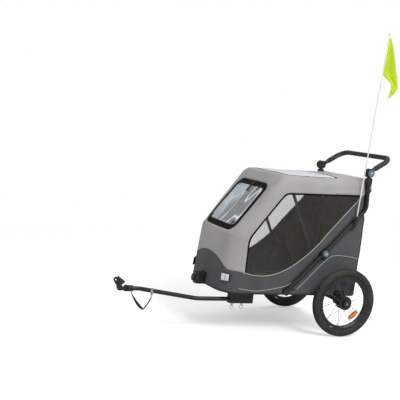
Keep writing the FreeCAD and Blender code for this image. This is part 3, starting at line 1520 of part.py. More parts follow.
def flag_pole(label):
    s = sheet
    foot = flag_foot() + Z_AXIS * (s.flag_cup_floor + s.seat_gap)
    pole = Part.makeCylinder(s.flag_pole_diameter / 2, s.flag_pole_length, foot)
    top = foot + Z_AXIS * (s.flag_pole_length + s.flag_knob_diameter / 4)
    knob = Part.makeSphere(s.flag_knob_diameter / 2, top)
    node(label, lean_flag(pole.fuse(knob)))


def flag_ring(height, start, breadth, fold):
    """One level line of the hanging flag, three half waves with a thickness."""
    s = sheet
    waves = 3
    y = flag_offset() - s.flag_thickness / 2
    first = flag_seat.x - s.flag_pole_diameter / 2 - s.seat_gap - start
    step = breadth / waves
    near, far = [], []
    for index in range(waves):
        rear = first - (index + 1) * step
        front = first - index * step
        bulge = fold if index % 2 == 0 else -fold
        for line, offset in ((near, y), (far, y + s.flag_thickness)):
            middle = V((front + rear) / 2, offset + bulge, height)
            line.append((V(front, offset, height), middle, V(rear, offset, height)))
    edges = [Part.Arc(*arc).toShape() for arc in near]
    edges.append(Part.LineSegment(near[-1][2], far[-1][2]).toShape())
    edges += [Part.Arc(*arc[::-1]).toShape() for arc in far[::-1]]
    edges.append(Part.LineSegment(far[0][0], near[0][0]).toShape())
    return Part.Wire(edges)


def flag_cloth(label):
    s = sheet
    fall = s.flag_hoist + s.flag_drop
    top = flag_foot().z + s.flag_cup_floor + s.flag_pole_length - s.flag_hoist_drop
    rings = []
    shares = zip(FLAG_DROP_SHARES, FLAG_BREADTH_SHARES, FLAG_FOLD_SHARES, FLAG_START_SHARES)
    for drop, wide, fold, start in shares:
        breadth = wide * s.flag_breadth
        rings.append(flag_ring(top - drop * fall, start * s.flag_breadth, breadth, fold * s.flag_fold_depth))
    node(label, lean_flag(Part.makeLoft(rings, True, True)))


def build_flag():
    flag_socket("flag_socket")
    flag_pole("flag_pole")
    flag_cloth("flag_cloth")


def check_and_export():
    """Stop if anything failed, then write each sub-part to its own file."""
    doc.recompute()
    failed = [made.Label for made in doc.Objects if {"Invalid", "Error"} & set(made.State)]
    for made in NODES:
        if made.Shape.isNull() or not made.Shape.isValid() or not made.Shape.Solids:
            failed.append(made.Label)
    if failed:
        raise RuntimeError("these objects failed: " + ", ".join(sorted(set(failed))))
    os.makedirs("parts", exist_ok=True)
    whole = FreeCAD.BoundBox()
    for made in NODES:
        made.Shape.exportStep(os.path.join("parts", made.Label + ".step"))
        whole.add(made.Shape.BoundBox)
    print(len(NODES), "sub-parts in a box of", whole)


build_wheels()
build_base()
build_frame()
build_bows()
build_towing()
front_socket("front_socket")
socket_knob("socket_knob")
build_cabin()
build_reflectors()
build_flag()
check_and_export()
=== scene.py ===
# %% [markdown]
# # A folding dog trailer
# The hard parts of the trailer come from its CAD model, which is loaded first and stays fixed.
# Everything soft is made here: the cabin's cloth, screens and clear windows, the mat, the flag and
# the strap. So is the fine detail of the tyres, lenses and grip. Each step says what the piece is on
# the real trailer and why it is made the way it is.

import json
import math

import bmesh
import bpy
import numpy as np
from mathutils import Matrix, Vector, noise


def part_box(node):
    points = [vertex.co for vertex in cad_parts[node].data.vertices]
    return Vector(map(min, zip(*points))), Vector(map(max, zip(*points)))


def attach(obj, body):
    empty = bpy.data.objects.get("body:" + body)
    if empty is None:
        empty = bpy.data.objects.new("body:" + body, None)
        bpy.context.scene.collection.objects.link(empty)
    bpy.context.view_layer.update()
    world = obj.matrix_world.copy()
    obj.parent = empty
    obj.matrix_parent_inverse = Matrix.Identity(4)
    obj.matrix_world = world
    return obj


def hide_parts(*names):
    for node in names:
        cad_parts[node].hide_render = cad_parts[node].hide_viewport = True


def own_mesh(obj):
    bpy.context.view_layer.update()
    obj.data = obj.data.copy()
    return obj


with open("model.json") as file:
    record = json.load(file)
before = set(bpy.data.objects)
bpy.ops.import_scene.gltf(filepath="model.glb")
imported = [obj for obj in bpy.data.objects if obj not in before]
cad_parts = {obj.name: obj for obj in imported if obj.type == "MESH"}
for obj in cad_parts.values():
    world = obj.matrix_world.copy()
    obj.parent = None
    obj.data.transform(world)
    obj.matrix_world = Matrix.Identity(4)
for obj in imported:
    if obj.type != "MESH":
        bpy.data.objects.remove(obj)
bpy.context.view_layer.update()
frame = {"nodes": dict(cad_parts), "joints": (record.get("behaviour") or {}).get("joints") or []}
nodes = frame["nodes"]
joints = {joint["name"]: joint for joint in frame["joints"]}
axle_x = joints["left_wheel_spin"]["pos_m"][0]
print("CAD nodes:", len(nodes), "axle at x =", axle_x)

# %% [markdown]
# ## Units
# Trailers are drawn in millimetres, and the easiest origin for this one is the ground under its axle.
# So each new mesh is modelled in millimetres from there, and one matrix moves it into the frame, which
# is in metres with its origin under the middle of the whole trailer. The object itself stays at the
# origin, because patterns that read Object coordinates then stay in place.

# %% Helpers that turn a mesh into a piece
MM = 0.001
TO_FRAME = Matrix.Translation((axle_x, 0, 0)) @ Matrix.Scale(MM, 4)
SIDES = {"left": 1, "right": -1}


def link_piece(mesh, name, paints, body):
    """Make a mesh an object of the scene that rides on a body."""
    for paint in paints:
        mesh.materials.append(paint.material)
    piece = bpy.data.objects.new(name, mesh)
    bpy.context.scene.collection.objects.link(piece)
    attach(piece, body)
    return piece


def make_piece(bm, name, paints, body, sharp=None):
    """Finish a mesh that was modelled in millimetres from the axle."""
    bmesh.ops.transform(bm, matrix=TO_FRAME, verts=bm.verts)
    mesh = bpy.data.meshes.new(name)
    bm.to_mesh(mesh)
    bm.free()
    mesh.shade_smooth()
    if sharp is not None:
        mesh.set_sharp_from_angle(angle=math.radians(sharp))
    return link_piece(mesh, name, paints, body)


def thicken(piece, thickness, offset=-1.0):
    """Give a sheet its thickness: inwards, or to both sides evenly with an offset of 0."""
    modifier = piece.modifiers.new("thickness", "SOLIDIFY")
    modifier.thickness = thickness * MM
    modifier.offset = offset
    modifier.use_even_offset = False


# %% [markdown]
# ## Shader maths
# A finish is a sum of small effects, such as threads, dust and dents. Written as node links these are
# hard to read, so a Value wraps one socket and Python's own operators add the Math nodes. Any other
# node comes from the method add, which takes its type, its settings and its inputs.

# %% Values
class Value:
    """A number that changes over a surface."""

    def __init__(self, owner, socket):
        self.owner = owner
        self.socket = socket

    def math(self, operation, *others, first=None):
        terms = [self, *others] if first is None else [first, self]
        return self.owner.add("ShaderNodeMath", {"operation": operation}, dict(enumerate(terms)))

    def __add__(self, other):
        return self.math("ADD", other)

    def __sub__(self, other):
        return self.math("SUBTRACT", other)

    def __rsub__(self, other):
        return self.math("SUBTRACT", first=other)

    def __mul__(self, other):
        return self.math("MULTIPLY", other)

    def __abs__(self):
        return self.math("ABSOLUTE")

    __radd__ = __add__
    __rmul__ = __mul__

    def sine(self):
        return self.math("SINE")

    def ramp(self, low, high, start=0.0, end=1.0):
        """Rise smoothly from start to end as this value goes from low to high."""
        settings = {"interpolation_type": "SMOOTHSTEP"}
        inputs = {"Value": self, "From Min": low, "From Max": high, "To Min": start, "To Max": end}
        return self.owner.add("ShaderNodeMapRange", settings, inputs)


# %% Node trees and paints
class Nodes:
    """A tree of shader nodes that is being wired."""

    def __init__(self, tree):
        self.tree = tree

    def add(self, kind, settings=None, inputs=None, out=0):
        """Add a node. Its settings are set first, and then its inputs are given a value or a link."""
        node = self.tree.nodes.new(kind)
        for name, value in (settings or {}).items():
            setattr(node, name, value)
        for name, value in (inputs or {}).items():
            self.feed(node.inputs[name], value)
        return Value(self, node.outputs[out])

    def feed(self, socket, value):
        if isinstance(value, Value):
            self.tree.links.new(value.socket, socket)
        else:
            socket.default_value = value

    def seen(self):
        """1 for what the camera sees, straight or through something clear, and 0 for all other light."""
        straight = self.add("ShaderNodeLightPath", out="Is Camera Ray")
        return straight.math("MAXIMUM", Value(self, straight.socket.node.outputs["Is Transmission Ray"]))


class Paint(Nodes):
    """A material that is being mixed, around one Principled shader."""

    def __init__(self, name, **fixed):
        self.material = bpy.data.materials.new(name)
        self.material.use_nodes = True
        super().__init__(self.material.node_tree)
        self.shader = next(node for node in self.tree.nodes if node.type == "BSDF_PRINCIPLED")
        self.set(**fixed)

    def set(self, **sockets):
        for socket, value in sockets.items():
            self.feed(self.shader.inputs[socket.replace("_", " ")], value)
        return self

    def place(self, stretch=(1.0, 1.0, 1.0), turn=(0.0, 0.0, 0.0), source="Object"):
        """Where a point is: in the frame in metres, or on the piece's own cloth."""
        where = self.add("ShaderNodeTexCoord", out=source)
        return self.add("ShaderNodeMapping", {}, {"Vector": where, "Scale": stretch, "Rotation": turn})

    def noise(self, scale, detail=3.0, roughness=0.5, where=None):
        inputs = {"Scale": scale, "Detail": detail, "Roughness": roughness}
        inputs["Vector"] = where or self.place()
        return self.add("ShaderNodeTexNoise", {}, inputs, "Fac")

    def cells(self, scale):
        return self.add("ShaderNodeTexVoronoi", {}, {"Scale": scale, "Vector": self.place()}, "Distance")

    def split(self, vector):
        node = self.add("ShaderNodeSeparateXYZ", {}, {"Vector": vector}).socket.node
        return [Value(self, socket) for socket in node.outputs]

    def blend(self, mask, first, second):
        """A colour that goes from first to second as mask goes from 0 to 1."""
        node = self.add("ShaderNodeMix", {"data_type": "RGBA"}, {"Factor": mask}).socket.node
        for index, colour in ((6, first), (7, second)):
            self.feed(node.inputs[index], colour)
        return Value(self, node.outputs[2])

    def bump(self, height, distance, strength=1.0):
        inputs = {"Height": height, "Distance": distance, "Strength": strength}
        return self.set(Normal=self.add("ShaderNodeBump", {}, inputs, "Normal"))


def tint(hex_code):
    """An sRGB colour as the linear numbers that shaders use."""
    parts = [int(hex_code[i:i + 2], 16) / 255 for i in (1, 3, 5)]
    linear = [p / 12.92 if p <= 0.04045 else ((p + 0.055) / 1.055) ** 2.4 for p in parts]
    return (*linear, 1.0)


# %% [markdown]
# ## Camera and light
# The camera was solved from the wheels, the floor line and the handle in the photograph: it stands to
# the front left, a little above the roof, and is rolled a few degrees, because the trailer rests nose
# down there. The studio is white, with three large soft lamps and a pale floor that keeps the shadow.

# %% Camera
PHOTO_WIDTH = 400
FOCAL_PIXELS = 797.909
camera_data = bpy.data.cameras.new("camera")
camera_data.sensor_width = 36.0
camera_data.lens = FOCAL_PIXELS * camera_data.sensor_width / PHOTO_WIDTH
camera_data.clip_end = 60.0
camera = bpy.data.objects.new("camera", camera_data)
bpy.context.scene.collection.objects.link(camera)
bpy.context.scene.camera = camera
right = Vector((-0.92145356, 0.37372351, 0.10608528))
up = Vector((0.05963625, -0.13376039, 0.98921771))
back = right.cross(up)
spot = TO_FRAME @ Vector((2560.05, 4169.90, 1160.19))
camera.matrix_world = Matrix((
    (right.x, up.x, back.x, spot.x),
    (right.y, up.y, back.y, spot.y),
    (right.z, up.z, back.z, spot.z),
    (0, 0, 0, 1)))
print("lens", round(camera_data.lens, 2), "mm")

# %% Studio
SKY_LIGHT, FLOOR_GLOW, FLOOR_SIZE, FLOOR_FADE = 0.42, 0.44, 14.0, (1.7, 3.4)
WHITE, FLOOR_GREY = (1.0, 1.0, 1.0, 1.0), (0.72, 0.72, 0.72, 1.0)
scene = bpy.context.scene
scene.view_settings.view_transform = "Standard"
scene.world = bpy.data.worlds.new("studio")
scene.world.use_nodes = True
sky = Nodes(scene.world.node_tree)
background = sky.tree.nodes["Background"]
level = sky.add("ShaderNodeMapRange", {}, {"Value": sky.seen(), "To Min": SKY_LIGHT, "To Max": 1.0})
sky.feed(background.inputs["Color"], WHITE)
sky.feed(background.inputs["Strength"], level)
print("sky light:", SKY_LIGHT)

# %% Lamps
LAMPS = (
    ("key_lamp", (-1.0, 3.4, 3.9), (-0.3, 0.0, 0.5), 2.4, 165.0),
    ("front_lamp", (3.6, 0.6, 2.6), (0.0, 0.0, 0.5), 2.8, 38.0),
    ("rear_lamp", (-3.6, -2.4, 3.0), (-0.3, 0.0, 0.5), 2.8, 85.0))
for name, place, aim, size, power in LAMPS:
    lamp_data = bpy.data.lights.new(name, "AREA")
    lamp_data.shape = "DISK"
    lamp_data.size = size
    lamp_data.energy = power
    lamp = bpy.data.objects.new(name, lamp_data)
    scene.collection.objects.link(lamp)
    lamp.location = place
    lamp.rotation_euler = (Vector(place) - Vector(aim)).to_track_quat("Z", "Y").to_euler()
print("lamps:", [name for name, *_ in LAMPS])

# %% Floor
floor_bm = bmesh.new()
bmesh.ops.create_circle(floor_bm, cap_ends=True, segments=96, radius=FLOOR_SIZE)
floor_mesh = bpy.data.meshes.new("studio_floor")
floor_bm.to_mesh(floor_mesh)
floor_bm.free()
floor = bpy.data.objects.new("studio_floor", floor_mesh)
scene.collection.objects.link(floor)


def paint_floor():
    """White to the camera with only the object's shadow on it, and clear further out."""
    paint = Paint("studio_floor", Base_Color=FLOOR_GREY, Roughness=0.9, Specular_IOR_Level=0.0)
    across, along, _ = paint.split(paint.place())
    away = (across * across + along * along).math("SQRT").ramp(*FLOOR_FADE)
    matt = Value(paint, paint.shader.outputs[0])
    glow = paint.add("ShaderNodeEmission", {}, {"Strength": FLOOR_GLOW})
    bright = paint.add("ShaderNodeAddShader", {}, {0: matt, 1: glow})
    clear = paint.add("ShaderNodeBsdfTransparent")
    shown = paint.add("ShaderNodeMixShader", {}, {0: away, 1: bright, 2: clear})
    mix = paint.add("ShaderNodeMixShader", {}, {0: paint.seen(), 1: matt, 2: shown})
    output = next(node for node in paint.tree.nodes if node.type == "OUTPUT_MATERIAL")
    paint.feed(output.inputs["Surface"], mix)
    return paint


floor_mesh.materials.append(paint_floor().material)
print("floor", 2 * FLOOR_SIZE, "m across")

# %% [markdown]
# ## Finishes of the hard parts
# The tubes are steel with a satin black powder coat, which has a fine orange-peel surface. The joints
# are moulded plastic with a spark-eroded grain. The wire and pins are bright steel, and the press
# buttons a semi-gloss blue-grey. Each finish varies a little in roughness, as handled parts do.

# %% Hard finishes
def paint_powder_coat(name, colour, worn):
    paint = Paint(name, Specular_IOR_Level=0.45)
    peel = paint.noise(900.0, 2.0)
    clouds = paint.noise(14.0, 4.0)
    rub = paint.noise(55.0, 5.0, 0.62).ramp(0.6, 0.78)
    paint.set(
        Base_Color=paint.blend(rub * 0.35, colour, worn),
        Roughness=clouds.ramp(0.3, 0.7, 0.34, 0.5))
    return paint.bump(peel, 0.00025, 0.5)


def paint_moulded(name, colour, light, rough=0.5):
    paint = Paint(name, Specular_IOR_Level=0.4)
    grain = paint.cells(1500.0)
    clouds = paint.noise(22.0, 4.0)
    dust = paint.noise(7.0, 5.0, 0.6).ramp(0.5, 0.8)
    paint.set(
        Base_Color=paint.blend(dust * 0.3, colour, light),
        Roughness=clouds.ramp(0.3, 0.7, rough - 0.06, rough + 0.1))
    return paint.bump(grain, 0.0002, 0.6)


def paint_steel(name, colour, stretch=(1.0, 1.0, 1.0)):
    paint = Paint(name, Metallic=1.0)
    brush = paint.noise(1100.0, 2.0, where=paint.place(stretch))
    tarnish = paint.noise(40.0, 4.0)
    paint.set(
        Base_Color=paint.blend(tarnish.ramp(0.5, 0.75) * 0.5, colour, tint("#77797A")),
        Roughness=brush.ramp(0.2, 0.8, 0.2, 0.36))
    return paint.bump(brush, 0.00008, 0.4)


black_tube = paint_powder_coat("black_tube", tint("#1D1D1E"), tint("#3A3A3B"))
rim_black = paint_powder_coat("rim_black", tint("#1C1C1D"), tint("#3D3D3D"))
black_plastic = paint_moulded("black_plastic", tint("#212122"), tint("#3A3A39"))
board_plastic = paint_moulded("board_plastic", tint("#252526"), tint("#3B3A38"), 0.6)
button_blue = paint_moulded("button_blue", tint("#566E7D"), tint("#6C8492"), 0.34)
wire_steel = paint_steel("wire_steel", tint("#7E8082"))
steel = paint_steel("steel", tint("#B4B6B7"), (1.0, 1.0, 14.0))


def paint_pole():
    paint = Paint("pole_white", Specular_IOR_Level=0.5, Coat_Roughness=0.2)
    fibres = paint.noise(260.0, 3.0, where=paint.place((1.0, 1.0, 0.03)))
    paint.set(
        Base_Color=paint.blend(fibres.ramp(0.35, 0.75), tint("#E8E5DD"), tint("#D2CEC4")),
        Roughness=fibres.ramp(0.3, 0.7, 0.28, 0.42))
    return paint.bump(fibres, 0.0001, 0.4)


pole_white = paint_pole()

# %% Finishes on the CAD nodes
NODE_PAINTS = {
    black_tube: (
        "base_front_tube", "base_rear_tube", "cross_tubes", "side_trusses", "upper_frame", "tow_bar",
        "handle_bar", "roof_bow", "front_hoop", "hitch_knuckle", "hitch_head"),
    rim_black: ("left_rim", "right_rim"),
    black_plastic: (
        "fold_hinge_seats", "fold_hinge_caps", "handle_hinge_caps", "handle_hinge_seats", "axle_blocks",
        "bow_brackets", "hoop_brackets", "tow_receiver", "front_socket", "socket_knob", "hitch_fork",
        "flag_socket", "left_hub", "right_hub"),
    board_plastic: ("floor_board",),
    button_blue: ("left_fold_button", "right_fold_button", "left_handle_button", "right_handle_button"),
    wire_steel: ("left_spokes", "right_spokes"),
    steel: (
        "axles", "left_axle_button", "right_axle_button", "left_bearings", "right_bearings",
        "strap_eye", "front_tow_pin", "rear_tow_pin"),
    pole_white: ("flag_pole",),
}


def paint_node(name, paint):
    piece = nodes[name]
    if not piece.material_slots:
        piece.data.materials.append(paint.material)
    for slot in piece.material_slots:
        slot.material = paint.material


for paint, names in NODE_PAINTS.items():
    for name in names:
        paint_node(name, paint)
    print(paint.material.name, "on", len(names), "nodes")

# %% [markdown]
# ## Finishes of the cloth
# The cabin is sewn from coated polyester. Up close it is a plain weave of fine threads; from
# a step away it is a soft matt surface with a few dusty or rubbed places. The threads follow the cloth,
# so they read its UV map, which is in metres. The screens are an open knit that light passes through.

# %% Woven cloth
THREAD, KNIT = 0.0007, 0.0022


def weave_height(paint, thread=THREAD):
    """Threads that go over and under each other, from the cloth's own map."""
    across, along, _ = paint.split(paint.place(source="UV"))
    pitch = math.pi / thread
    warp = abs((across * pitch).sine())
    weft = abs((along * pitch).sine())
    over = ((across * (pitch / 2)).sine() * (along * (pitch / 2)).sine()).ramp(-0.15, 0.15)
    return over * warp + (1.0 - over) * weft


def paint_cloth(name, colour, light, dark, rough=0.78, shine=0.3):
    paint = Paint(name, Specular_IOR_Level=shine, Sheen_Weight=shine * 0.4, Sheen_Roughness=0.5)
    threads = weave_height(paint)
    wash = paint.noise(5.0, 5.0, 0.6)
    specks = paint.noise(170.0, 3.0, 0.6)
    shade = paint.blend(wash.ramp(0.3, 0.7), dark, light)
    # Between the threads the colour goes part way to the darker base colour: painted shade in the weave's
    # hollows.
    base = paint.blend(threads.ramp(0.0, 0.9, 0.55, 0.0), shade, colour)
    paint.set(Base_Color=base, Roughness=specks.ramp(0.3, 0.7, rough - 0.06, rough + 0.1))
    return paint.bump(threads + specks * 0.6, 0.00025, 0.7)


grey_cloth = paint_cloth("grey_cloth", tint("#94928F"), tint("#A9A7A4"), tint("#9C9A97"))
dark_cloth = paint_cloth("dark_cloth", tint("#414244"), tint("#515254"), tint("#464749"))
mat_cloth = paint_cloth("mat_cloth", tint("#2E2F31"), tint("#3C3D3F"), tint("#333436"))
tape_black = paint_cloth("tape_black", tint("#0B0B0C"), tint("#131314"), tint("#0D0D0E"), 0.85, 0.08)

# %% Open knit and clear film
def paint_screen():
    """An open knit: dark threads with small rounded holes."""
    paint = Paint("screen", Specular_IOR_Level=0.2)
    across, along, _ = paint.split(paint.place(source="UV"))
    pitch = math.pi / KNIT
    net = abs((across * pitch).sine()) * abs((along * pitch).sine())
    threads = net.ramp(0.25, 0.75, 1.0, 0.0)
    paint.set(Base_Color=tint("#5E5C54"), Roughness=0.75, Alpha=threads.ramp(0.0, 1.0, 0.03, 0.24))
    return paint.bump(threads, 0.0003, 0.6)


def paint_film(name, haze_lean, shade, reflection_colour, thin, thick):
    """Soft clear film: painted milky reflection in a haze of light, and painted highlights on long
    creases.
    """
    paint = Paint(name, Specular_IOR_Level=0.6, IOR=1.45)
    _, across, _ = paint.split(paint.place())
    swell = paint.noise(4.0, 1.0, 0.4, paint.place((0.6, 1.5, 0.6)))
    fold = paint.noise(12.0, 0.0, 0.4, paint.place((0.4, 1.0, 0.4), (0.5, 0.0, 0.0)))
    # The milky colour is a painted reflection of the studio's light, and the near-white creases are
    # painted highlights.
    reflected_haze = (swell - across * haze_lean).ramp(0.38, 0.56)
    crease_highlight = abs(fold - 0.5).ramp(0.0, 0.05, 1.0, 0.0) * (1.0 - reflected_haze * 0.75)
    paint.set(
        Base_Color=paint.blend(crease_highlight, paint.blend(reflected_haze, shade, reflection_colour), tint("#F6F8FA")),
        Roughness=reflected_haze.ramp(0.0, 1.0, 0.07, 0.22),
        Alpha=(reflected_haze.ramp(0.0, 1.0, thin, thick) + crease_highlight * 0.3).math("MINIMUM", 0.95))
    return paint.bump(swell + fold * 0.5, 0.01, 0.5)


screen_knit = paint_screen()
clear_film = paint_film("clear_film", 1.1, tint("#74787C"), tint("#C3CFDA"), 0.6, 0.88)
# The roof film's pale, nearly opaque colours are a painted reflection of the bright studio above it.
roof_film = paint_film("roof_film", 0.0, tint("#D3DAE2"), tint("#E6EAF0"), 0.85, 0.94)
for paint in (grey_cloth, dark_cloth, mat_cloth, tape_black, screen_knit, clear_film, roof_film):
    print("cloth finish", paint.material.name, "with", len(paint.tree.nodes), "nodes")

# %% [markdown]
# ## The cabin's surface
# The whole cabin is one taut skin over a frame, so it is modelled once and cut afterwards: then panels
# meet at their seams with no gaps. It starts as a flat grid. One direction of the grid goes round the
# cabin and the other up its walls, over the rounded roof edge and in to the middle of the roof. Each
# point is moved to its place on the cabin, and the grid's two ends are merged at the rear.

# %% Levels of the cabin
BOTTOM, CREASE, HIP, SHOULDER, ROOF = 226.0, 545.0, 746.0, 860.0, 898.0
HALF_WIDTH, REAR_CORNER = 275.0, 24.0
ROOF_EDGE, FRONT_EDGE, REAR_EDGE = 38.0, 6.0, 10.0
FRONT_LOW, FRONT_CREASE, FRONT_TOP = 735.0, 704.0, 461.0
REAR_LOW, REAR_CREASE, REAR_HIP, REAR_TOP = -111.0, -118.0, -121.0, -148.0
CORNER_LOW, CORNER_TOP = 110.0, 46.0
WALL_ROWS = ((BOTTOM, CREASE, 29), (CREASE, HIP, 18), (HIP, SHOULDER, 10))
EDGE_ROWS, ROOF_ROWS = 8, 16
FRONT_BOW, ROOF_CROWN, ROOF_RISE = 9.0, 12.0, 9.0
SPINE = (-60.0, 250.0)


def between(value, places, values):
    return float(np.interp(value, places, values))


def cabin_level(height):
    """Rear, front, half width and front corner of the cabin's wall at a height."""
    slope = (FRONT_TOP - FRONT_CREASE) / (SHOULDER - CREASE)
    rear = between(height, (BOTTOM, CREASE, HIP, SHOULDER), (REAR_LOW, REAR_CREASE, REAR_HIP, REAR_TOP))
    front = between(height, (BOTTOM, CREASE), (FRONT_LOW, FRONT_CREASE))
    if height > CREASE:
        front = FRONT_CREASE + slope * (height - CREASE)
    corner = between(height, (CREASE, SHOULDER), (CORNER_LOW, CORNER_TOP))
    return rear, front, HALF_WIDTH, corner


levels = []
for low, high, count in WALL_ROWS:
    for step in range(count):
        height = low + (high - low) * step / count
        levels.append((height, *cabin_level(height)))
for step in range(EDGE_ROWS + 1):
    turn = math.pi / 2 * step / EDGE_ROWS
    inset = 1 - math.cos(turn)
    height = SHOULDER + ROOF_EDGE * math.sin(turn)
    rear, front, half, corner = cabin_level(height)
    ring = rear + REAR_EDGE * inset, front - FRONT_EDGE * inset, half - ROOF_EDGE * inset, corner
    levels.append((height, *ring))
ROWS = len(levels) - 1 + ROOF_ROWS
print("levels of the walls:", len(levels), "and rows in all:", ROWS)

# %% Round the cabin
MERGE = 0.05
HALF_ROUND = (("rear", 14), ("rear_corner", 6), ("side", 56), ("front_corner", 14), ("front", 14))
COLUMNS = 2 * sum(count for _, count in HALF_ROUND)


def ring_point(column, rear, front, half, corner):
    """A point of the rounded rectangle at one level, whose right half mirrors its left."""
    if column > COLUMNS / 2:
        x, y = ring_point(COLUMNS - column, rear, front, half, corner)
        return x, -y
    for name, count in HALF_ROUND:
        if column <= count:
            break
        column -= count
    share = column / count
    inner = half - corner
    rear_inner = half - REAR_CORNER
    swing = math.pi / 2 * share
    if name == "rear":
        return rear, rear_inner * share
    if name == "rear_corner":
        return rear + REAR_CORNER * (1 - math.cos(swing)), rear_inner + REAR_CORNER * math.sin(swing)
    if name == "side":
        return rear + REAR_CORNER + (front - corner - rear - REAR_CORNER) * share, half
    if name == "front_corner":
        return front - corner + corner * math.sin(swing), inner + corner * math.cos(swing)
    return front + FRONT_BOW * (1 - (1 - share) ** 2), inner * (1 - share)


def skin_point(column, row):
    """A point of the cabin's skin: up the wall and over the edge, then across the roof to its spine."""
    last = len(levels) - 1
    height, *ring = levels[min(row, last)]
    x, y = ring_point(column, *ring)
    if row > last:
        share = (row - last) / ROOF_ROWS
        spine = min(max(x, SPINE[0]), SPINE[1])
        x += (spine - x) * share
        y *= 1 - share
        height += ROOF_CROWN * (1 - (1 - share) ** 2)
    return Vector((x, y, height))


skin = bmesh.new()
bmesh.ops.create_grid(skin, x_segments=COLUMNS, y_segments=ROWS, size=1.0)
for vert in skin.verts:
    column = round((vert.co.x + 1) / 2 * COLUMNS)
    row = round((vert.co.y + 1) / 2 * ROWS)
    vert.co = skin_point(column, row)
bmesh.ops.remove_doubles(skin, verts=skin.verts, dist=MERGE)
bmesh.ops.recalc_face_normals(skin, faces=skin.faces)
print("cabin skin:", len(skin.verts), "points,", len(skin.faces), "faces")

# %% [markdown]
# ## Seams and openings
# Each seam is a line on the skin where some measure is zero, such as the height above the sweeping top
# edge of the dark cloth. Where an edge of the grid crosses such a line it is split there, and the new
# points are joined across the faces. The faces on each side then belong to different panels.

# %% Cutting along a line
SNAP = 0.6


def cut_along(bm, measure, reach):
    """Split the faces of a mesh where measure is zero, and return the points on that line."""
    values = {}
    for vert in bm.verts:
        if reach(vert.co):
            value = measure(vert.co)
            values[vert] = 0.0 if abs(value) < SNAP else value
    line = [vert for vert, value in values.items() if value == 0.0]
    crossed = []
    for edge in bm.edges:
        first, second = (values.get(vert) for vert in edge.verts)
        if first is not None and second is not None and first * second < 0:
            crossed.append((edge, edge.verts[0], first / (first - second)))
    for edge, start, share in crossed:
        line.append(bmesh.utils.edge_split(edge, start, share)[1])
    bmesh.ops.connect_verts(bm, verts=line)
    return line


# %% The top edge of the dark cloth
NOSE, ARC_STEPS = 640.0, 24
SWEEP_ARCS = (
    ((640, 350), (510, 329), (330, 389)),
    ((330, 389), (227, 467), (130, 575)),
    ((-60, 792), (-105, 837), (-223, 862)))
HUMP_ARC = ((-230, 350), (0, 420), (230, 350))


def arc_through(a, b, c):
    """Points of the circular arc from a through b to c in the side view."""
    (ax, ay), (bx, by), (cx, cy) = a, b, c
    d = 2 * (ax * (by - cy) + bx * (cy - ay) + cx * (ay - by))
    sa, sb, sc = ax * ax + ay * ay, bx * bx + by * by, cx * cx + cy * cy
    ux = (sa * (by - cy) + sb * (cy - ay) + sc * (ay - by)) / d
    uy = (sa * (cx - bx) + sb * (ax - cx) + sc * (bx - ax)) / d
    radius = math.hypot(ax - ux, ay - uy)
    start, middle, end = (math.atan2(y - uy, x - ux) for x, y in (a, b, c))
    middle += 2 * math.pi * round((start - middle) / (2 * math.pi))
    end += 2 * math.pi * round((middle - end) / (2 * math.pi))
    turns = [start + (end - start) * step / ARC_STEPS for step in range(ARC_STEPS + 1)]
    return [(ux + radius * math.cos(t), uy + radius * math.sin(t)) for t in turns]


sweep = np.array(sorted(point for arc in SWEEP_ARCS for point in arc_through(*arc)))
hump = np.array(arc_through(*HUMP_ARC))


def above_dark(co):
    """Height above the dark lower cloth's top edge."""
    if co.x > NOSE:
        return co.z - between(co.y, hump[:, 0], hump[:, 1])
    return co.z - between(co.x, sweep[:, 0], sweep[:, 1])


print("sweep:", len(sweep), "points, front hump:", len(hump), "points")

# %% Outlines of the windows and the door
FRONT_WINDOW = ((0, 700), (194, 138), 50)
ROOF_WINDOW = ((230.5, 0), (174.5, 228), 40)
REAR_DOOR = ((0, 552), (196, 284), 40)
SIDE_LOW, SIDE_HIGH, SIDE_TOP, SIDE_REAR = (618, 536), (420, 803), 820, -80
SIDE_SOFT, SIDE_FAR = 8.0, -200.0


def rounded_box(across, up, middle, half, corner):
    """Signed distance to a rounded rectangle, negative inside it."""
    dx = abs(across - middle[0]) - half[0] + corner
    dy = abs(up - middle[1]) - half[1] + corner
    return math.hypot(max(dx, 0), max(dy, 0)) + min(max(dx, dy), 0) - corner


def front_window(co):
    return rounded_box(co.y, co.z, *FRONT_WINDOW)


def roof_window(co):
    return rounded_box(co.x, co.y, *ROOF_WINDOW)


def rear_door(co):
    return rounded_box(co.y, co.z, *REAR_DOOR)


def side_window(co):
    """Signed distance to the side window's four edges, with softened corners."""
    run, rise = SIDE_LOW[0] - SIDE_HIGH[0], SIDE_HIGH[1] - SIDE_LOW[1]
    slope = ((co.x - SIDE_LOW[0]) * rise + (co.z - SIDE_LOW[1]) * run) / math.hypot(rise, run)
    fall = (SIDE_TOP - SIDE_HIGH[1]) * (co.x - SIDE_REAR) / (SIDE_HIGH[0] - SIDE_REAR)
    edges = (co.x - SIDE_LOW[0], slope, co.z - (SIDE_TOP - fall), SIDE_REAR - co.x)
    terms = [math.exp(value / SIDE_SOFT) for value in edges if value > SIDE_FAR]
    return SIDE_SOFT * math.log(sum(terms)) if terms else SIDE_FAR


# %% Holes for the hinges, the axle blocks and the socket
FOLD, FOOT, KNEE, TOP_HINGE = (126.0, 470.0), (346.0, 240.0), (-122.0, 740.0), (-110.0, 951.0)
HINGE_HOLE = 28.5
AXLE_NOTCH, SOCKET_NOTCH = (32.5, 252.5), (31.0, 287.0)


def hinge_hole(co):
    return math.hypot(co.x - FOLD[0], co.z - FOLD[1]) - HINGE_HOLE


def axle_notch(co):
    return max(abs(co.x) - AXLE_NOTCH[0], co.z - AXLE_NOTCH[1])


def socket_notch(co):
    return max(abs(co.y) - SOCKET_NOTCH[0], co.z - SOCKET_NOTCH[1])


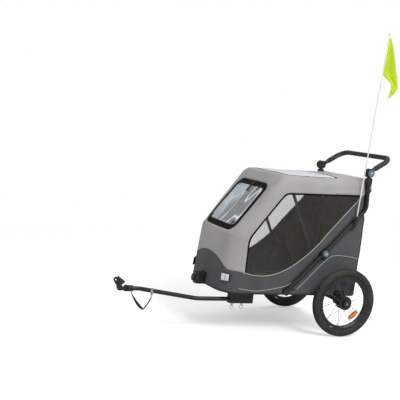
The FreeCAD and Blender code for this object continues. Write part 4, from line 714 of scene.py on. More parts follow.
# %% Where each line may reach
DARK_REACH, ROOF_REACH = SHOULDER + 30, ROOF - 6
SIDE_REACH = (HALF_WIDTH - 8, SHOULDER + 2)
FRONT_REACH = (FRONT_TOP - 20, HALF_WIDTH - 10, CREASE - 40)
REAR_REACH = (-100, HALF_WIDTH - 12, SHOULDER + 6)
SOCKET_REACH = (FRONT_CREASE, 80, 330)


def below_roof(co):
    return co.z < DARK_REACH


def on_side(co):
    return abs(co.y) > SIDE_REACH[0] and co.z < SIDE_REACH[1]


def on_front(co):
    return co.x > FRONT_REACH[0] and abs(co.y) < FRONT_REACH[1] and co.z > FRONT_REACH[2]


def on_roof(co):
    return co.z > ROOF_REACH


def on_rear(co):
    return co.x < REAR_REACH[0] and abs(co.y) < REAR_REACH[1] and co.z < REAR_REACH[2]


def at_socket(co):
    return co.x > SOCKET_REACH[0] and abs(co.y) < SOCKET_REACH[1] and co.z < SOCKET_REACH[2]


# %% Make the cuts
FRONT_TAPE, ROOF_TAPE, DOOR_TAPE, SCREEN_TAPE = 30.0, 14.0, 14.0, 10.0
OPENINGS = (
    (side_window, SCREEN_TAPE, on_side),
    (front_window, FRONT_TAPE, on_front),
    (roof_window, ROOF_TAPE, on_roof),
    (rear_door, DOOR_TAPE, on_rear))
FRONT_CORD = np.array([(300, 290), (326, 281), (450, 253), (544, 241), (618, 250), (652, 256)])
REAR_CORD = np.array([
    (-140, 436), (-60, 454), (20, 462), (70, 458), (94, 444), (130, 412), (215, 323), (292, 242)])


def cut_sewn_line(line):
    """Cut along a line that is sewn onto the dark side cloth, and return the points on it."""
    def rise(co):
        return co.z - between(co.x, line[:, 0], line[:, 1])

    def reach(co):
        return on_side(co) and line[0, 0] < co.x < line[-1, 0] and above_dark(co) < 0

    return set(cut_along(skin, rise, reach))


cut_along(skin, above_dark, below_roof)
for outline, tape, reach in OPENINGS:
    for margin in (0.0, tape):
        cut_along(skin, lambda co: outline(co) + margin, reach)
cut_along(skin, hinge_hole, on_side)
sewn_lines = [cut_sewn_line(line) for line in (FRONT_CORD, REAR_CORD)]
cut_along(skin, axle_notch, on_side)
cut_along(skin, socket_notch, at_socket)
print("after the seams are cut:", len(skin.faces), "faces")

# %% Which panel a face belongs to
PANELS = (
    "canopy", "lower_cloth", "screen", "screen_tape", "front_film", "front_tape", "roof_film",
    "roof_tape", "door", "door_tape", "open")


def panel_of(co):
    if on_front(co) and front_window(co) < 0:
        return "front_film" if front_window(co) < -FRONT_TAPE else "front_tape"
    if on_roof(co) and roof_window(co) < 0:
        return "roof_film" if roof_window(co) < -ROOF_TAPE else "roof_tape"
    if on_rear(co) and rear_door(co) < 0:
        return "door" if rear_door(co) < -DOOR_TAPE else "door_tape"
    if on_side(co) and min(hinge_hole(co), axle_notch(co)) < 0:
        return "open"
    if at_socket(co) and socket_notch(co) < 0:
        return "open"
    if below_roof(co) and above_dark(co) < 0:
        return "lower_cloth"
    if on_side(co) and side_window(co) < 0:
        return "screen" if side_window(co) < -SCREEN_TAPE else "screen_tape"
    return "canopy"


counts = {name: 0 for name in PANELS}
for face in skin.faces:
    panel = panel_of(face.calc_center_median())
    face.material_index = PANELS.index(panel)
    counts[panel] += 1
print("faces of each panel:", counts)

# %% [markdown]
# The cloth's map is laid on before the skin is wrinkled. Each face is mapped from the side that it faces
# most, in metres, so the threads keep one size all over. Wrinkles come next: the skin moves in and out
# along its own normal by a few millimetres, most where the cloth is loose, and it sinks in behind the
# frame tubes that press on it from outside.

# %% Map
cloth_map = skin.loops.layers.uv.new("UVMap")
for face in skin.faces:
    normal = face.normal
    facing = max(range(3), key=lambda axis: abs(normal[axis]))
    first, second = [axis for axis in range(3) if axis != facing]
    for loop in face.loops:
        loop[cloth_map].uv = (loop.vert.co[first] * MM, loop.vert.co[second] * MM)
print("map:", cloth_map.name)

# %% Grooves behind the tubes
GROOVE, GROOVE_NEAR, GROOVE_FAR, GROOVE_LEAST = 20.0, 13.0, 30.0, 0.5
TUBE_RUNS = ((FOOT, FOLD), (FOLD, KNEE), (KNEE, TOP_HINGE))


def to_segment(x, z, start, end):
    """Distance in the side view from a point to a straight tube's line."""
    dx, dz = end[0] - start[0], end[1] - start[1]
    share = ((x - start[0]) * dx + (z - start[1]) * dz) / (dx * dx + dz * dz)
    share = min(max(share, 0.0), 1.0)
    return math.hypot(x - start[0] - dx * share, z - start[1] - dz * share)


def ease(value, low, high):
    """Rise smoothly from 0 to 1 as value goes from low to high."""
    share = min(max((value - low) / (high - low), 0.0), 1.0)
    return share * share * (3 - 2 * share)


def groove(co):
    """How far the frame tubes press the side cloth in."""
    if abs(co.y) < HALF_WIDTH - ROOF_EDGE:
        return 0.0
    gap = min(to_segment(co.x, co.z, *run) for run in TUBE_RUNS)
    return GROOVE * (1 - ease(gap, GROOVE_NEAR, GROOVE_FAR))


# %% Wrinkles
EVEN = (1.0, 1.0, 1.0)
TAUT_WAVES = ((2.2, 150, 3.1, EVEN), (1.0, 55, 7.7, (1.6, 1.6, 0.8)))
LOOSE_WAVES = ((2.6, 110, 11.3, (0.7, 1.0, 1.3)), (1.5, 42, 5.9, (0.8, 0.8, 1.5)))
FRONT_WAVES = ((3.5, 70, 2.2, (0.35, 1.5, 0.35)), (0.6, 60, 9.1, EVEN))
ROOF_WAVES = ((3.0, 90, 4.4, (1.4, 0.6, 1.0)),)
SEAM_SOFT, FRONT_CALM, ROOF_CALM = 8, -60, -50


def ripple(co, waves):
    """Waves in the cloth, each with a height, a length, a seed and a stretch along X, Y and Z."""
    total = 0.0
    for height, length, seed, stretch in waves:
        spot = Vector([value * scale for value, scale in zip(co, stretch)]) / length
        total += height * noise.noise(spot + Vector((seed, 0, 0)))
    return total


def wrinkle(co):
    """How far the loose cloth stands out from its taut shape."""
    dark = 1 - ease(above_dark(co), -SEAM_SOFT, SEAM_SOFT) if below_roof(co) else 0.0
    film = 0.0
    if on_front(co):
        film = (1 - ease(front_window(co), FRONT_CALM, -FRONT_TAPE)) * ripple(co, FRONT_WAVES)
    if on_roof(co):
        film = (1 - ease(roof_window(co), ROOF_CALM, -ROOF_TAPE)) * ripple(co, ROOF_WAVES)
    return ripple(co, TAUT_WAVES) * (1 - dark) + ripple(co, LOOSE_WAVES) * dark + film


# %% Move the skin
skin.normal_update()
home = {vert: vert.co.copy() for vert in skin.verts}
flat_area = {name: 0.0 for name in PANELS}
for face in skin.faces:
    flat_area[PANELS[face.material_index]] += face.calc_area() * MM * MM
moves = {vert: vert.normal * wrinkle(vert.co) for vert in skin.verts}
for vert, start in home.items():
    press = groove(start)
    vert.co += moves[vert]
    vert.co.z += ROOF_RISE * ease(start.z, SHOULDER, ROOF) * (1 - ease(start.x, REAR_TOP, SPINE[1]))
    if press > GROOVE_LEAST:
        limit = HALF_WIDTH - press
        vert.co.y = max(-limit, min(limit, vert.co.y))
skin.normal_update()
print("flat areas:", {name: round(area, 3) for name, area in flat_area.items()})

# %% [markdown]
# Each panel is then a copy of the skin with every other panel's faces taken away, and it gets a mesh
# of its own. The frame folds, and cloth can't follow a hinge: the real cabin collapses onto its mat.


def crumple(piece):
    """Give a piece of cloth a mesh of its own."""
    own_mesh(piece)


def take_panel(name, panels, body, slot, thickness, flat, *replaced):
    """A panel of the cabin, with one paint for each kind of face in it."""
    bm = skin.copy()
    wanted = {PANELS.index(panel): order for order, (panel, _) in enumerate(panels)}
    unwanted = [face for face in bm.faces if face.material_index not in wanted]
    bmesh.ops.delete(bm, geom=unwanted, context="FACES")
    for face in bm.faces:
        face.material_index = wanted[face.material_index]
    piece = make_piece(bm, name, [paint for _, paint in panels], body)
    thicken(piece, thickness)
    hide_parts(*replaced)
    crumple(piece)
    area = sum(flat_area[panel] for panel, _ in panels)
    print(name, "flat area", round(area, 3), "of", round(flat[0] * flat[1], 3), "square metres")


CLOTH, SCREEN, FILM = 1.4, 0.6, 0.7
for panel in (
        ("canopy_cloth", [("canopy", grey_cloth)], "chassis", "grey_cloth", CLOTH, (0.95, 1.1), "canopy"),
        ("lower_cloth", [("lower_cloth", dark_cloth)], "chassis", "dark_cloth", CLOTH, (0.66, 2.3),
         "lower_panel", "rear_panel"),
        ("screens", [("screen", screen_knit), ("screen_tape", tape_black)], "chassis", "screen", SCREEN,
         (0.9, 0.64), "side_screens"),
        ("front_flap", [("front_film", clear_film), ("front_tape", tape_black)], "front_window",
         "clear_film", FILM, (0.41, 0.36), "front_window"),
        ("roof_flap", [("roof_film", roof_film), ("roof_tape", tape_black)], "roof_window",
         "clear_film", FILM, (0.46, 0.36), "roof_window"),
        ("rear_flap", [("door", dark_cloth), ("door_tape", tape_black)], "rear_door", "dark_cloth", CLOTH,
         (0.4, 0.59), "rear_door")):
    take_panel(*panel)

# %% [markdown]
# ## Sewn edges
# A seam on the real cabin is finished with a thin cord in a strip of cloth: light grey along the dark
# cloth's top edge, black where an edge is bound. The lines already exist on the skin, as the edges between
# two panels. They are strung together into chains, and a curve with a round bevel along each chain makes
# the cord.

# %% Chains of edges
CORD_LIFT = 1.6


def chains_of(edges):
    """String loose edges together into runs of points."""
    links = {}
    for edge in edges:
        first, second = edge.verts
        links.setdefault(first, []).append(second)
        links.setdefault(second, []).append(first)
    ends = [vert for vert, near in links.items() if len(near) == 1]
    runs = []
    while links:
        start = next((vert for vert in ends if vert in links), None) or next(iter(links))
        run = [start]
        while links.get(run[-1]):
            here = run[-1]
            there = links[here].pop()
            links[there].remove(here)
            run.append(there)
        for vert in run:
            if vert in links and not links[vert]:
                del links[vert]
        if len(run) > 1:
            runs.append([vert.co + vert.normal * CORD_LIFT for vert in run])
    return runs


# %% A cord along a chain
def curve_mesh(name, runs, radius, smooth=2, ends=1.0):
    """A round cord along runs of points in millimetres, as a mesh."""
    curve = bpy.data.curves.new(name, "CURVE")
    curve.dimensions = "3D"
    curve.bevel_depth = radius * MM
    curve.bevel_resolution = 3
    curve.use_fill_caps = True
    for run in runs:
        points = [TO_FRAME @ point for point in run]
        for _ in range(smooth):
            inner = [(a + b * 2 + c) / 4 for a, b, c in zip(points, points[1:], points[2:])]
            points = [points[0], *inner, points[-1]]
        spline = curve.splines.new("POLY")
        spline.points.add(len(points) - 1)
        for index, (target, point) in enumerate(zip(spline.points, points)):
            target.co = (*point, 1.0)
            target.radius = ends if index in (0, len(points) - 1) else 1.0
        spline.use_smooth = True
    maker = bpy.data.objects.new(name, curve)
    mesh = bpy.data.meshes.new_from_object(maker)
    mesh.name = name
    bpy.data.objects.remove(maker)
    return mesh


# %% Which edges are sewn
REAR_TURN = HALF_WIDTH - REAR_CORNER + REAR_CORNER * math.sin(math.pi / 4)
TURN_GAP, EDGE_GAP, REAR_ZONE, EDGE_ZONE, NOSE_ZONE = 0.4, 0.3, -90, REAR_TOP + 36, NOSE + 20


def panel_pair(edge):
    return {PANELS[face.material_index] for face in edge.link_faces}


def at_rest(edge):
    first, second = edge.verts
    return (home[first] + home[second]) / 2


def is_sweep(edge):
    pair = panel_pair(edge)
    middle = at_rest(edge)
    beside = pair & {"screen", "screen_tape", "canopy"}
    return "lower_cloth" in pair and beside and on_side(middle) and middle.x < NOSE_ZONE


def is_sewn_line(edge):
    return any(edge.verts[0] in line and edge.verts[1] in line for line in sewn_lines)


def is_rear_edge(edge):
    """The rear's two upright corners and its top edge."""
    spots = [home[vert] for vert in edge.verts]
    behind = all(co.x < REAR_ZONE and co.z < SHOULDER for co in spots)
    upright = behind and all(abs(abs(co.y) - REAR_TURN) < TURN_GAP for co in spots)
    return upright or all(abs(co.z - ROOF) < EDGE_GAP and co.x < EDGE_ZONE for co in spots)


def is_bound_edge(edge):
    pair = panel_pair(edge)
    alone = len(edge.link_faces) == 1
    return alone or ("open" in pair and len(pair) == 2)


# %% Piping and bindings
light_cord = paint_moulded("piping_light", tint("#A5A4A1"), tint("#B7B6B3"), 0.62)
black_cord = paint_moulded("binding_black", tint("#1B1B1C"), tint("#262627"), 0.62)
for name, test, radius, paint in (
        ("swoosh_piping", is_sweep, 2.4, light_cord),
        ("side_piping", is_sewn_line, 2.0, light_cord),
        ("rear_binding", is_rear_edge, 3.6, black_cord),
        ("hem_binding", is_bound_edge, 2.6, black_cord)):
    runs = chains_of([edge for edge in skin.edges if test(edge)])
    cord = link_piece(curve_mesh(name, runs, radius), name, [paint], "chassis")
    crumple(cord)
    print(name, "in", len(runs), "runs")
skin.free()

# %% [markdown]
# ## Tyres
# A tyre is a turned shape, so half of it is a profile: bead, bulging wall, shoulder and crown. The
# profile is mirrored, spun once round the axle and merged where it closes. Its shoulder faces are then
# inset and lifted one by one, which leaves a row of rubber blocks with grooves between them.

# %% Tyres
WHEEL_HEIGHT, TRACK = 200.0, 340.0
TYRE_STEPS, TYRE_MERGE = 96, 0.02
TYRE_PROFILE = (
    (12.6, 157.5), (15.5, 161.0), (20.2, 165.5), (22.8, 173.0), (22.9, 180.0), (21.0, 187.5),
    (16.5, 193.6), (10.6, 196.6), (9.6, 195.0), (7.6, 195.4), (6.8, 198.2), (2.2, 199.0), (1.4, 197.4))
SHOULDER_RADIUS, SHOULDER_SIDE, BLOCK_GAP, BLOCK_RISE = 193.0, 11.0, 1.3, 1.5


def paint_rubber():
    paint = Paint("tyre_rubber", Specular_IOR_Level=0.35)
    clouds = paint.noise(18.0, 5.0, 0.6)
    pores = paint.noise(700.0, 2.0)
    paint.set(
        Base_Color=paint.blend(clouds.ramp(0.35, 0.75), tint("#262624"), tint("#3B3A36")),
        Roughness=clouds.ramp(0.3, 0.7, 0.62, 0.8))
    return paint.bump(pores, 0.0003, 0.5)


tyre_rubber = paint_rubber()


def make_tyre(side_name, side):
    bm = bmesh.new()
    centre = Vector((0, side * TRACK, WHEEL_HEIGHT))
    outline = list(TYRE_PROFILE) + [(-across, radius) for across, radius in reversed(TYRE_PROFILE)]
    verts = [bm.verts.new(centre + Vector((0, across, radius))) for across, radius in outline]
    edges = [bm.edges.new(pair) for pair in zip(verts, verts[1:])]
    bmesh.ops.spin(
        bm, geom=verts + edges, cent=centre, axis=(0, 1, 0), angle=2 * math.pi, steps=TYRE_STEPS,
        use_merge=True)
    bmesh.ops.remove_doubles(bm, verts=bm.verts, dist=TYRE_MERGE)
    bmesh.ops.recalc_face_normals(bm, faces=bm.faces)
    blocks = []
    for face in bm.faces:
        spot = face.calc_center_median() - centre
        if math.hypot(spot.x, spot.z) > SHOULDER_RADIUS and abs(spot.y) > SHOULDER_SIDE:
            blocks.append(face)
    bmesh.ops.inset_individual(
        bm, faces=blocks, thickness=BLOCK_GAP, depth=BLOCK_RISE, use_even_offset=True)
    name, body = side_name + "_tyre_rubber", side_name + "_wheel"
    piece = make_piece(bm, name, [tyre_rubber], body, sharp=50)
    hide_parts(side_name + "_tyre")
    print(name, "has", len(blocks), "tread blocks")


for side_name, side in SIDES.items():
    make_tyre(side_name, side)

# %% [markdown]
# ## Lenses
# A reflector is a clear plastic plate with rows of small prisms behind it, which throw light back. Here
# the plate is a bevelled box in a black frame, and the prisms are a cell pattern in its finish, with
# painted glints on the prisms and a faint painted glow in place of the light they throw back.

# %% Lens finishes
def paint_lens(name, deep, bright, glow):
    paint = Paint(
        name, Specular_IOR_Level=0.6, Coat_Weight=0.6, Coat_Roughness=0.05, Emission_Strength=glow,
        Emission_Color=bright)
    # Prism cells lighter in the middle are painted glints, and the faint emission in the bright colour is
    # a painted glow.
    prisms = paint.cells(330.0)
    glinting_facets = prisms.ramp(0.15, 0.6)
    paint.set(Base_Color=paint.blend(glinting_facets, bright, deep), Roughness=glinting_facets.ramp(0.0, 1.0, 0.12, 0.28))
    return paint.bump(prisms, 0.0012, 0.8)


lens_orange = paint_lens("lens_orange", tint("#C65A00"), tint("#EE8A08"), 0.05)
lens_white = paint_lens("lens_white", tint("#B9BDBF"), tint("#F2F4F4"), 0.1)
lens_red = paint_lens("lens_red", tint("#8E0E0E"), tint("#D32622"), 0.08)
for side_name in SIDES:
    paint_node(side_name + "_wheel_reflector", lens_orange)
print("lens finishes:", [paint.material.name for paint in (lens_orange, lens_white, lens_red)])

# %% Parts of a reflector
FRAME_DEPTH, FRAME_RIM, FRAME_ROUND = 8.4, 6.0, 1.8
CELL_DEPTH, CELL_GAP, CELL_MARGIN, CELL_ROUND, CELL_PLACE = 3.0, 2.6, 8.0, 1.2, 8.0


def box_into(bm, size, middle, round_by, material=0):
    """Add a box with softened edges to a mesh."""
    made = bmesh.ops.create_cube(bm, size=1.0)["verts"]
    bmesh.ops.scale(bm, vec=size, verts=made)
    bmesh.ops.translate(bm, vec=middle, verts=made)
    for face in {face for vert in made for face in vert.link_faces}:
        face.material_index = material
    edges = list({edge for vert in made for edge in vert.link_edges})
    bmesh.ops.bevel(
        bm, geom=edges, offset=round_by, offset_type="OFFSET", segments=3, profile=0.5, affect="EDGES",
        material=-1, clamp_overlap=True)


def add_part(bm, part, place):
    """Move a finished part to its place and add it to a mesh."""
    bmesh.ops.transform(part, matrix=place, verts=part.verts)
    spare = bpy.data.meshes.new("part")
    part.to_mesh(spare)
    part.free()
    bm.from_mesh(spare)
    bpy.data.meshes.remove(spare)


def reflector_into(bm, width, height, cells, place):
    """A black frame with lens cells that stand a little proud, facing along X."""
    part = bmesh.new()
    box_into(part, (FRAME_DEPTH, width, height), (FRAME_DEPTH / 2, 0, 0), FRAME_ROUND)
    pitch = (width - FRAME_RIM) / cells
    cell = (CELL_DEPTH, pitch - CELL_GAP, height - CELL_MARGIN)
    for index in range(cells):
        across = (index - (cells - 1) / 2) * pitch
        box_into(part, cell, (CELL_PLACE, across, 0), CELL_ROUND, 1)
    add_part(bm, part, place)


# %% Reflectors in front
FRONT_LENS, FRONT_LENS_HEIGHT, FRONT_LENS_TURN = (58.0, 46.0, 2), 308.0, math.radians(34.0)
LENS_PROUD = 0.3
front_lean = (FRONT_LOW - FRONT_CREASE) / (CREASE - BOTTOM)
front = FRONT_LOW - front_lean * (FRONT_LENS_HEIGHT - BOTTOM) - CORNER_LOW
reach = CORNER_LOW + LENS_PROUD
lens_x = front + reach * math.cos(FRONT_LENS_TURN)
lens_y = HALF_WIDTH - CORNER_LOW + reach * math.sin(FRONT_LENS_TURN)
tilt = Matrix.Rotation(-math.atan(front_lean * math.cos(FRONT_LENS_TURN)), 4, "Y")
bm = bmesh.new()
for side in SIDES.values():
    place = Matrix.Translation((lens_x, side * lens_y, FRONT_LENS_HEIGHT))
    swing = Matrix.Rotation(side * FRONT_LENS_TURN, 4, "Z")
    reflector_into(bm, *FRONT_LENS, place @ swing @ tilt)
front_lenses = make_piece(
    bm, "front_lenses", [black_plastic, lens_white], "chassis", sharp=40)
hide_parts("front_reflectors")
print("front lenses:", len(front_lenses.data.polygons), "faces")

# %% Reflectors behind
REAR_LENS, REAR_LENS_HEIGHT, REAR_LENS_SIDE = (46.0, 46.0, 1), 320.0, 226.0
_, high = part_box("rear_reflectors")
lens_x = (high[0] - axle_x) / MM
bm = bmesh.new()
for side in SIDES.values():
    place = Matrix.Translation((lens_x, side * REAR_LENS_SIDE, REAR_LENS_HEIGHT))
    reflector_into(bm, *REAR_LENS, place @ Matrix.Rotation(math.pi, 4, "Z"))
rear_lenses = make_piece(
    bm, "rear_lenses", [black_plastic, lens_red], "chassis", sharp=40)
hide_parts("rear_reflectors")
print("rear lenses:", len(rear_lenses.data.polygons), "faces")

# %% [markdown]
# ## Floor mat
# The dog lies on a thin quilted pad. A grid is crowned into a low cushion that is full in the middle and
# pulled down at its edge and along the sewn channels, and its underside is flattened on the board.

# %% Mat
MAT_REAR, MAT_FRONT, MAT_HALF, MAT_BOTTOM, MAT_EDGE, MAT_FULL = -66.0, 638.0, 225.0, 255.6, 4.0, 14.6
MAT_GRID, MAT_ROLL, CORNER_PULL = (132, 88), 0.14, 0.035
CHANNELS_LONG, CHANNELS_WIDE, CHANNEL_SHAPE, CHANNEL_DEPTH = 6, 4, 0.45, 0.45


def lay_map(bm, flat):
    """Give each corner of a mesh its place on the flat cloth, in metres."""
    layer = bm.loops.layers.uv.new("UVMap")
    for face in bm.faces:
        for loop in face.loops:
            loop[layer].uv = flat(loop.vert.co)


def from_above(co):
    return co.x * MM, co.y * MM


def mat_height(across, along):
    """Height of the pad over the board: a crown with channels sewn down between its cells."""
    edge = min(1.0, min(1 - abs(across), 1 - abs(along)) / MAT_ROLL)
    crown = math.sqrt(max(0.0, 1 - (1 - edge) ** 2))
    cell_x = abs(math.sin(math.pi * CHANNELS_LONG * (across + 1) / 2))
    cell_y = abs(math.sin(math.pi * CHANNELS_WIDE * (along + 1) / 2))
    channel = min(cell_x, cell_y) ** CHANNEL_SHAPE
    return MAT_EDGE + (MAT_FULL - MAT_EDGE) * crown * (1 - CHANNEL_DEPTH + CHANNEL_DEPTH * channel)


bm = bmesh.new()
bmesh.ops.create_grid(bm, x_segments=MAT_GRID[0], y_segments=MAT_GRID[1], size=1.0)
for vert in bm.verts:
    across, along = vert.co.x, vert.co.y
    pull = 1 - CORNER_PULL * max(abs(across), abs(along)) ** 6 * (across * along) ** 4
    x = (MAT_FRONT + MAT_REAR) / 2 + (MAT_FRONT - MAT_REAR) / 2 * across * pull
    vert.co = (x, MAT_HALF * along * pull, MAT_BOTTOM + mat_height(across, along))
for item in bmesh.ops.extrude_face_region(bm, geom=bm.faces[:])["geom"]:
    if isinstance(item, bmesh.types.BMVert):
        item.co.z = MAT_BOTTOM
bmesh.ops.recalc_face_normals(bm, faces=bm.faces)
lay_map(bm, from_above)
mat = make_piece(bm, "quilted_mat", [mat_cloth], "chassis")
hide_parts("floor_mat")
print("mat:", len(mat.data.polygons), "faces")

# %% [markdown]
# ## Floor skirt
# The cabin's cloth is closed below too, or daylight would show beside the mat. A strip is sewn to the
# foot of the walls and lies on the rim of the board. It is a grid again, bent into a flat ring between
# the wall and the mat, with its ends merged at the rear.

# %% Skirt
SKIRT_HEIGHT, SKIRT_SEAM, SKIRT_ROWS, SKIRT_CORNER, SKIRT_CLOTH = 256.8, 2.0, 4, 36.0, 0.8
rear, front, half, corner = cabin_level(SKIRT_HEIGHT)
at_wall = (rear + SKIRT_SEAM, front - SKIRT_SEAM, half - SKIRT_SEAM, corner)
at_mat = (MAT_REAR - SKIRT_SEAM, MAT_FRONT + SKIRT_SEAM, MAT_HALF + SKIRT_SEAM, SKIRT_CORNER)
bm = bmesh.new()
bmesh.ops.create_grid(bm, x_segments=COLUMNS, y_segments=SKIRT_ROWS, size=1.0)
for vert in bm.verts:
    column = round((vert.co.x + 1) / 2 * COLUMNS)
    outer, inner = Vector(ring_point(column, *at_wall)), Vector(ring_point(column, *at_mat))
    vert.co = outer.lerp(inner, (vert.co.y + 1) / 2).to_3d() + Vector((0, 0, SKIRT_HEIGHT))
bmesh.ops.remove_doubles(bm, verts=bm.verts, dist=MERGE)
bmesh.ops.recalc_face_normals(bm, faces=bm.faces)
if sum(face.normal.z for face in bm.faces) < 0:
    bmesh.ops.reverse_faces(bm, faces=bm.faces)
lay_map(bm, from_above)
skirt_area = sum(face.calc_area() for face in bm.faces) * MM * MM
skirt = make_piece(bm, "floor_skirt", [mat_cloth], "chassis")
thicken(skirt, SKIRT_CLOTH)
print("skirt:", round(skirt_area, 3), "square metres")

# %% [markdown]
# ## Foam grip
# The handle's bar is wrapped in soft foam that ends in a rounded edge on each arm. A curve follows the
# bar round its two bends, with a round bevel as thick as the foam.

# %% Grip
HANDLE = Vector((TOP_HINGE[0], 0, TOP_HINGE[1]))
HANDLE_RISE, HANDLE_REACH, HANDLE_HALF, HANDLE_BEND = math.radians(32.5), 176.0, 262.0, 62.0
GRIP_START, GRIP_RADIUS, GRIP_END = 44.0, 15.0, 0.86
ARM_STEPS, BEND_STEPS = 8, 14
arm = Vector((-math.cos(HANDLE_RISE), 0, math.sin(HANDLE_RISE)))
side_way = Vector((0, 1, 0))


def grip_path():
    """Points of the foam's middle line, from one arm to the other."""
    half = []
    for step in range(ARM_STEPS + 1):
        along = GRIP_START + (HANDLE_REACH - HANDLE_BEND - GRIP_START) * step / ARM_STEPS
        half.append(HANDLE + arm * along + side_way * HANDLE_HALF)
    corner = HANDLE + arm * (HANDLE_REACH - HANDLE_BEND) + side_way * (HANDLE_HALF - HANDLE_BEND)
    for step in range(1, BEND_STEPS + 1):
        turn = math.pi / 2 * step / BEND_STEPS
        half.append(corner + arm * HANDLE_BEND * math.sin(turn) + side_way * HANDLE_BEND * math.cos(turn))
    other = [Vector((point.x, -point.y, point.z)) for point in reversed(half)]
    return half + other


def paint_foam():
    paint = Paint("grip_foam", Specular_IOR_Level=0.2)
    pores = paint.cells(900.0)
    clouds = paint.noise(30.0, 4.0)
    paint.set(
        Base_Color=paint.blend(clouds.ramp(0.3, 0.7), tint("#363635"), tint("#474745")),
        Roughness=clouds.ramp(0.3, 0.7, 0.82, 0.95))
    return paint.bump(pores, 0.0006, 0.8)


grip_mesh = curve_mesh("foam_grip", [grip_path()], GRIP_RADIUS, smooth=0, ends=GRIP_END)
grip_mesh.set_sharp_from_angle(angle=math.radians(50))
grip = link_piece(grip_mesh, "foam_grip", [paint_foam()], "handle")
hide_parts("handle_grip")
print("grip:", len(grip_mesh.polygons), "faces")

# %% [markdown]
# ## Flag
# The pennant is sewn along its pole and hangs limp, with its tip folded down behind. It is a thin sheet:
# a grid whose rows follow the cloth down, wider and wider and then off to the tip, and whose columns wave
# in and out.

# %% Flag
POLE_LEAN, POLE_CAP = math.radians(3.44), 7.5
FLAG_GRID, FLAG_MAP, FLAG_CLOTH, FLAG_MARGIN = (40, 64), (0.30, 0.34), 0.5, 1.0
low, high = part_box("flag_cloth")
FLAG_TOP, FLAG_FALL = high[2] / MM - FLAG_MARGIN, (high[2] - low[2]) / MM - 2 * FLAG_MARGIN
low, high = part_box("flag_pole")
POLE_Y = (low[1] + high[1]) / 2 / MM
POLE_TOP_X, POLE_TOP_Z = (low[0] - axle_x) / MM + POLE_CAP, high[2] / MM - POLE_CAP
FLAG_GAP, FLAG_SAG, FLAG_THREAD = 4.2, 4.0, 0.0006
FOLD_TURN, FOLD_DRIFT, FINE_FOLD = 3 * math.pi, 0.9, 1.5
FLAG_DROPS = (0.0, 0.15, 0.32, 0.49, 0.63, 0.74, 0.81, 0.91, 1.0)
FLAG_WIDTHS = (10.0, 37.0, 60.0, 80.0, 100.0, 50.0, 51.0, 32.0, 5.0)
FLAG_STARTS = (0.0, 0.0, 0.0, 0.0, 0.0, 60.0, 67.0, 65.0, 61.0)
FLAG_FOLDS = (0.7, 2.4, 4.0, 5.3, 6.6, 3.3, 3.3, 2.1, 0.3)


def flag_point(across, down):
    """A point of the hanging cloth, with its folds."""
    height = FLAG_TOP - FLAG_FALL * down - FLAG_SAG * math.sin(math.pi * across) * (1 - down)
    width = between(down, FLAG_DROPS, FLAG_WIDTHS)
    start = between(down, FLAG_DROPS, FLAG_STARTS)
    depth = between(down, FLAG_DROPS, FLAG_FOLDS) * min(1.0, across * 5)
    pole = POLE_TOP_X + (POLE_TOP_Z - height) * math.tan(POLE_LEAN)
    sway = depth * math.sin(FOLD_TURN * across + FOLD_DRIFT * down)
    fine = FINE_FOLD * noise.noise(Vector((across * 3, down * 5, 0.7))) * min(1.0, across * 4)
    return Vector((pole - FLAG_GAP - start - width * across, POLE_Y + sway + fine, height))


def paint_flag():
    # The flag's faint emission is a painted glow that lifts its yellow.
    paint = Paint("flag_yellow", Specular_IOR_Level=0.3, Emission_Strength=0.04, Sheen_Weight=0.2)
    threads = weave_height(paint, FLAG_THREAD)
    wash = paint.noise(9.0, 4.0)
    base = paint.blend(wash.ramp(0.35, 0.7), tint("#A0BC02"), tint("#B4D010"))
    paint.set(Base_Color=base, Emission_Color=tint("#B8E600"), Roughness=wash.ramp(0.3, 0.7, 0.5, 0.66))
    return paint.bump(threads, 0.0002, 0.6)


bm = bmesh.new()
bmesh.ops.create_grid(bm, x_segments=FLAG_GRID[0], y_segments=FLAG_GRID[1], size=1.0)
lay_map(bm, lambda co: ((co.x + 1) / 2 * FLAG_MAP[0], (co.y + 1) / 2 * FLAG_MAP[1]))
for vert in bm.verts:
    vert.co = flag_point((vert.co.x + 1) / 2, (1 - vert.co.y) / 2)
bmesh.ops.recalc_face_normals(bm, faces=bm.faces)
flag = make_piece(bm, "pennant", [paint_flag()], "flag")
thicken(flag, FLAG_CLOTH, 0.0)
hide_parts("flag_cloth")
print("pennant:", len(flag.data.polygons), "faces")

# %% [markdown]
# ## Safety strap
# A short webbing strap hangs in a V under the hitch and would hold the trailer if the hitch came undone.
# It is a free cord: the points of its route pull a smooth NURBS curve into shape, and a flat ribbon is
# laid along that curve, with a twist in its first half.

# %% Strap
STRAP_ROUTE = ((1.2080, 0.1000, 0.1873), (1.1830, 0.1074, 0.1402), (1.1400, 0.1140, 0.0945),
               (1.1290, 0.1157, 0.0940), (1.1080, 0.1189, 0.1269), (1.0940, 0.1229, 0.1608))
STRAP_WIDTH, STRAP_THICKNESS, STRAP_ROWS, STRAP_FINENESS = 20.0, 2.2, 4, 12
STRAP_ACROSS = Vector((0.197, 0.980, 0.0))
STRAP_TWIST, TWIST_END = math.radians(40), 0.55


def paint_webbing():
    paint = Paint("webbing", Specular_IOR_Level=0.25)
    ribs = paint.noise(420.0, 2.0, where=paint.place((1.0, 1.0, 3.0)))
    fuzz = paint.noise(900.0, 3.0)
    paint.set(Base_Color=paint.blend(ribs.ramp(0.35, 0.7), tint("#141415"), tint("#2B2B2C")),
              Roughness=fuzz.ramp(0.3, 0.7, 0.7, 0.86))
    return paint.bump(ribs + fuzz * 0.4, 0.0004, 0.7)


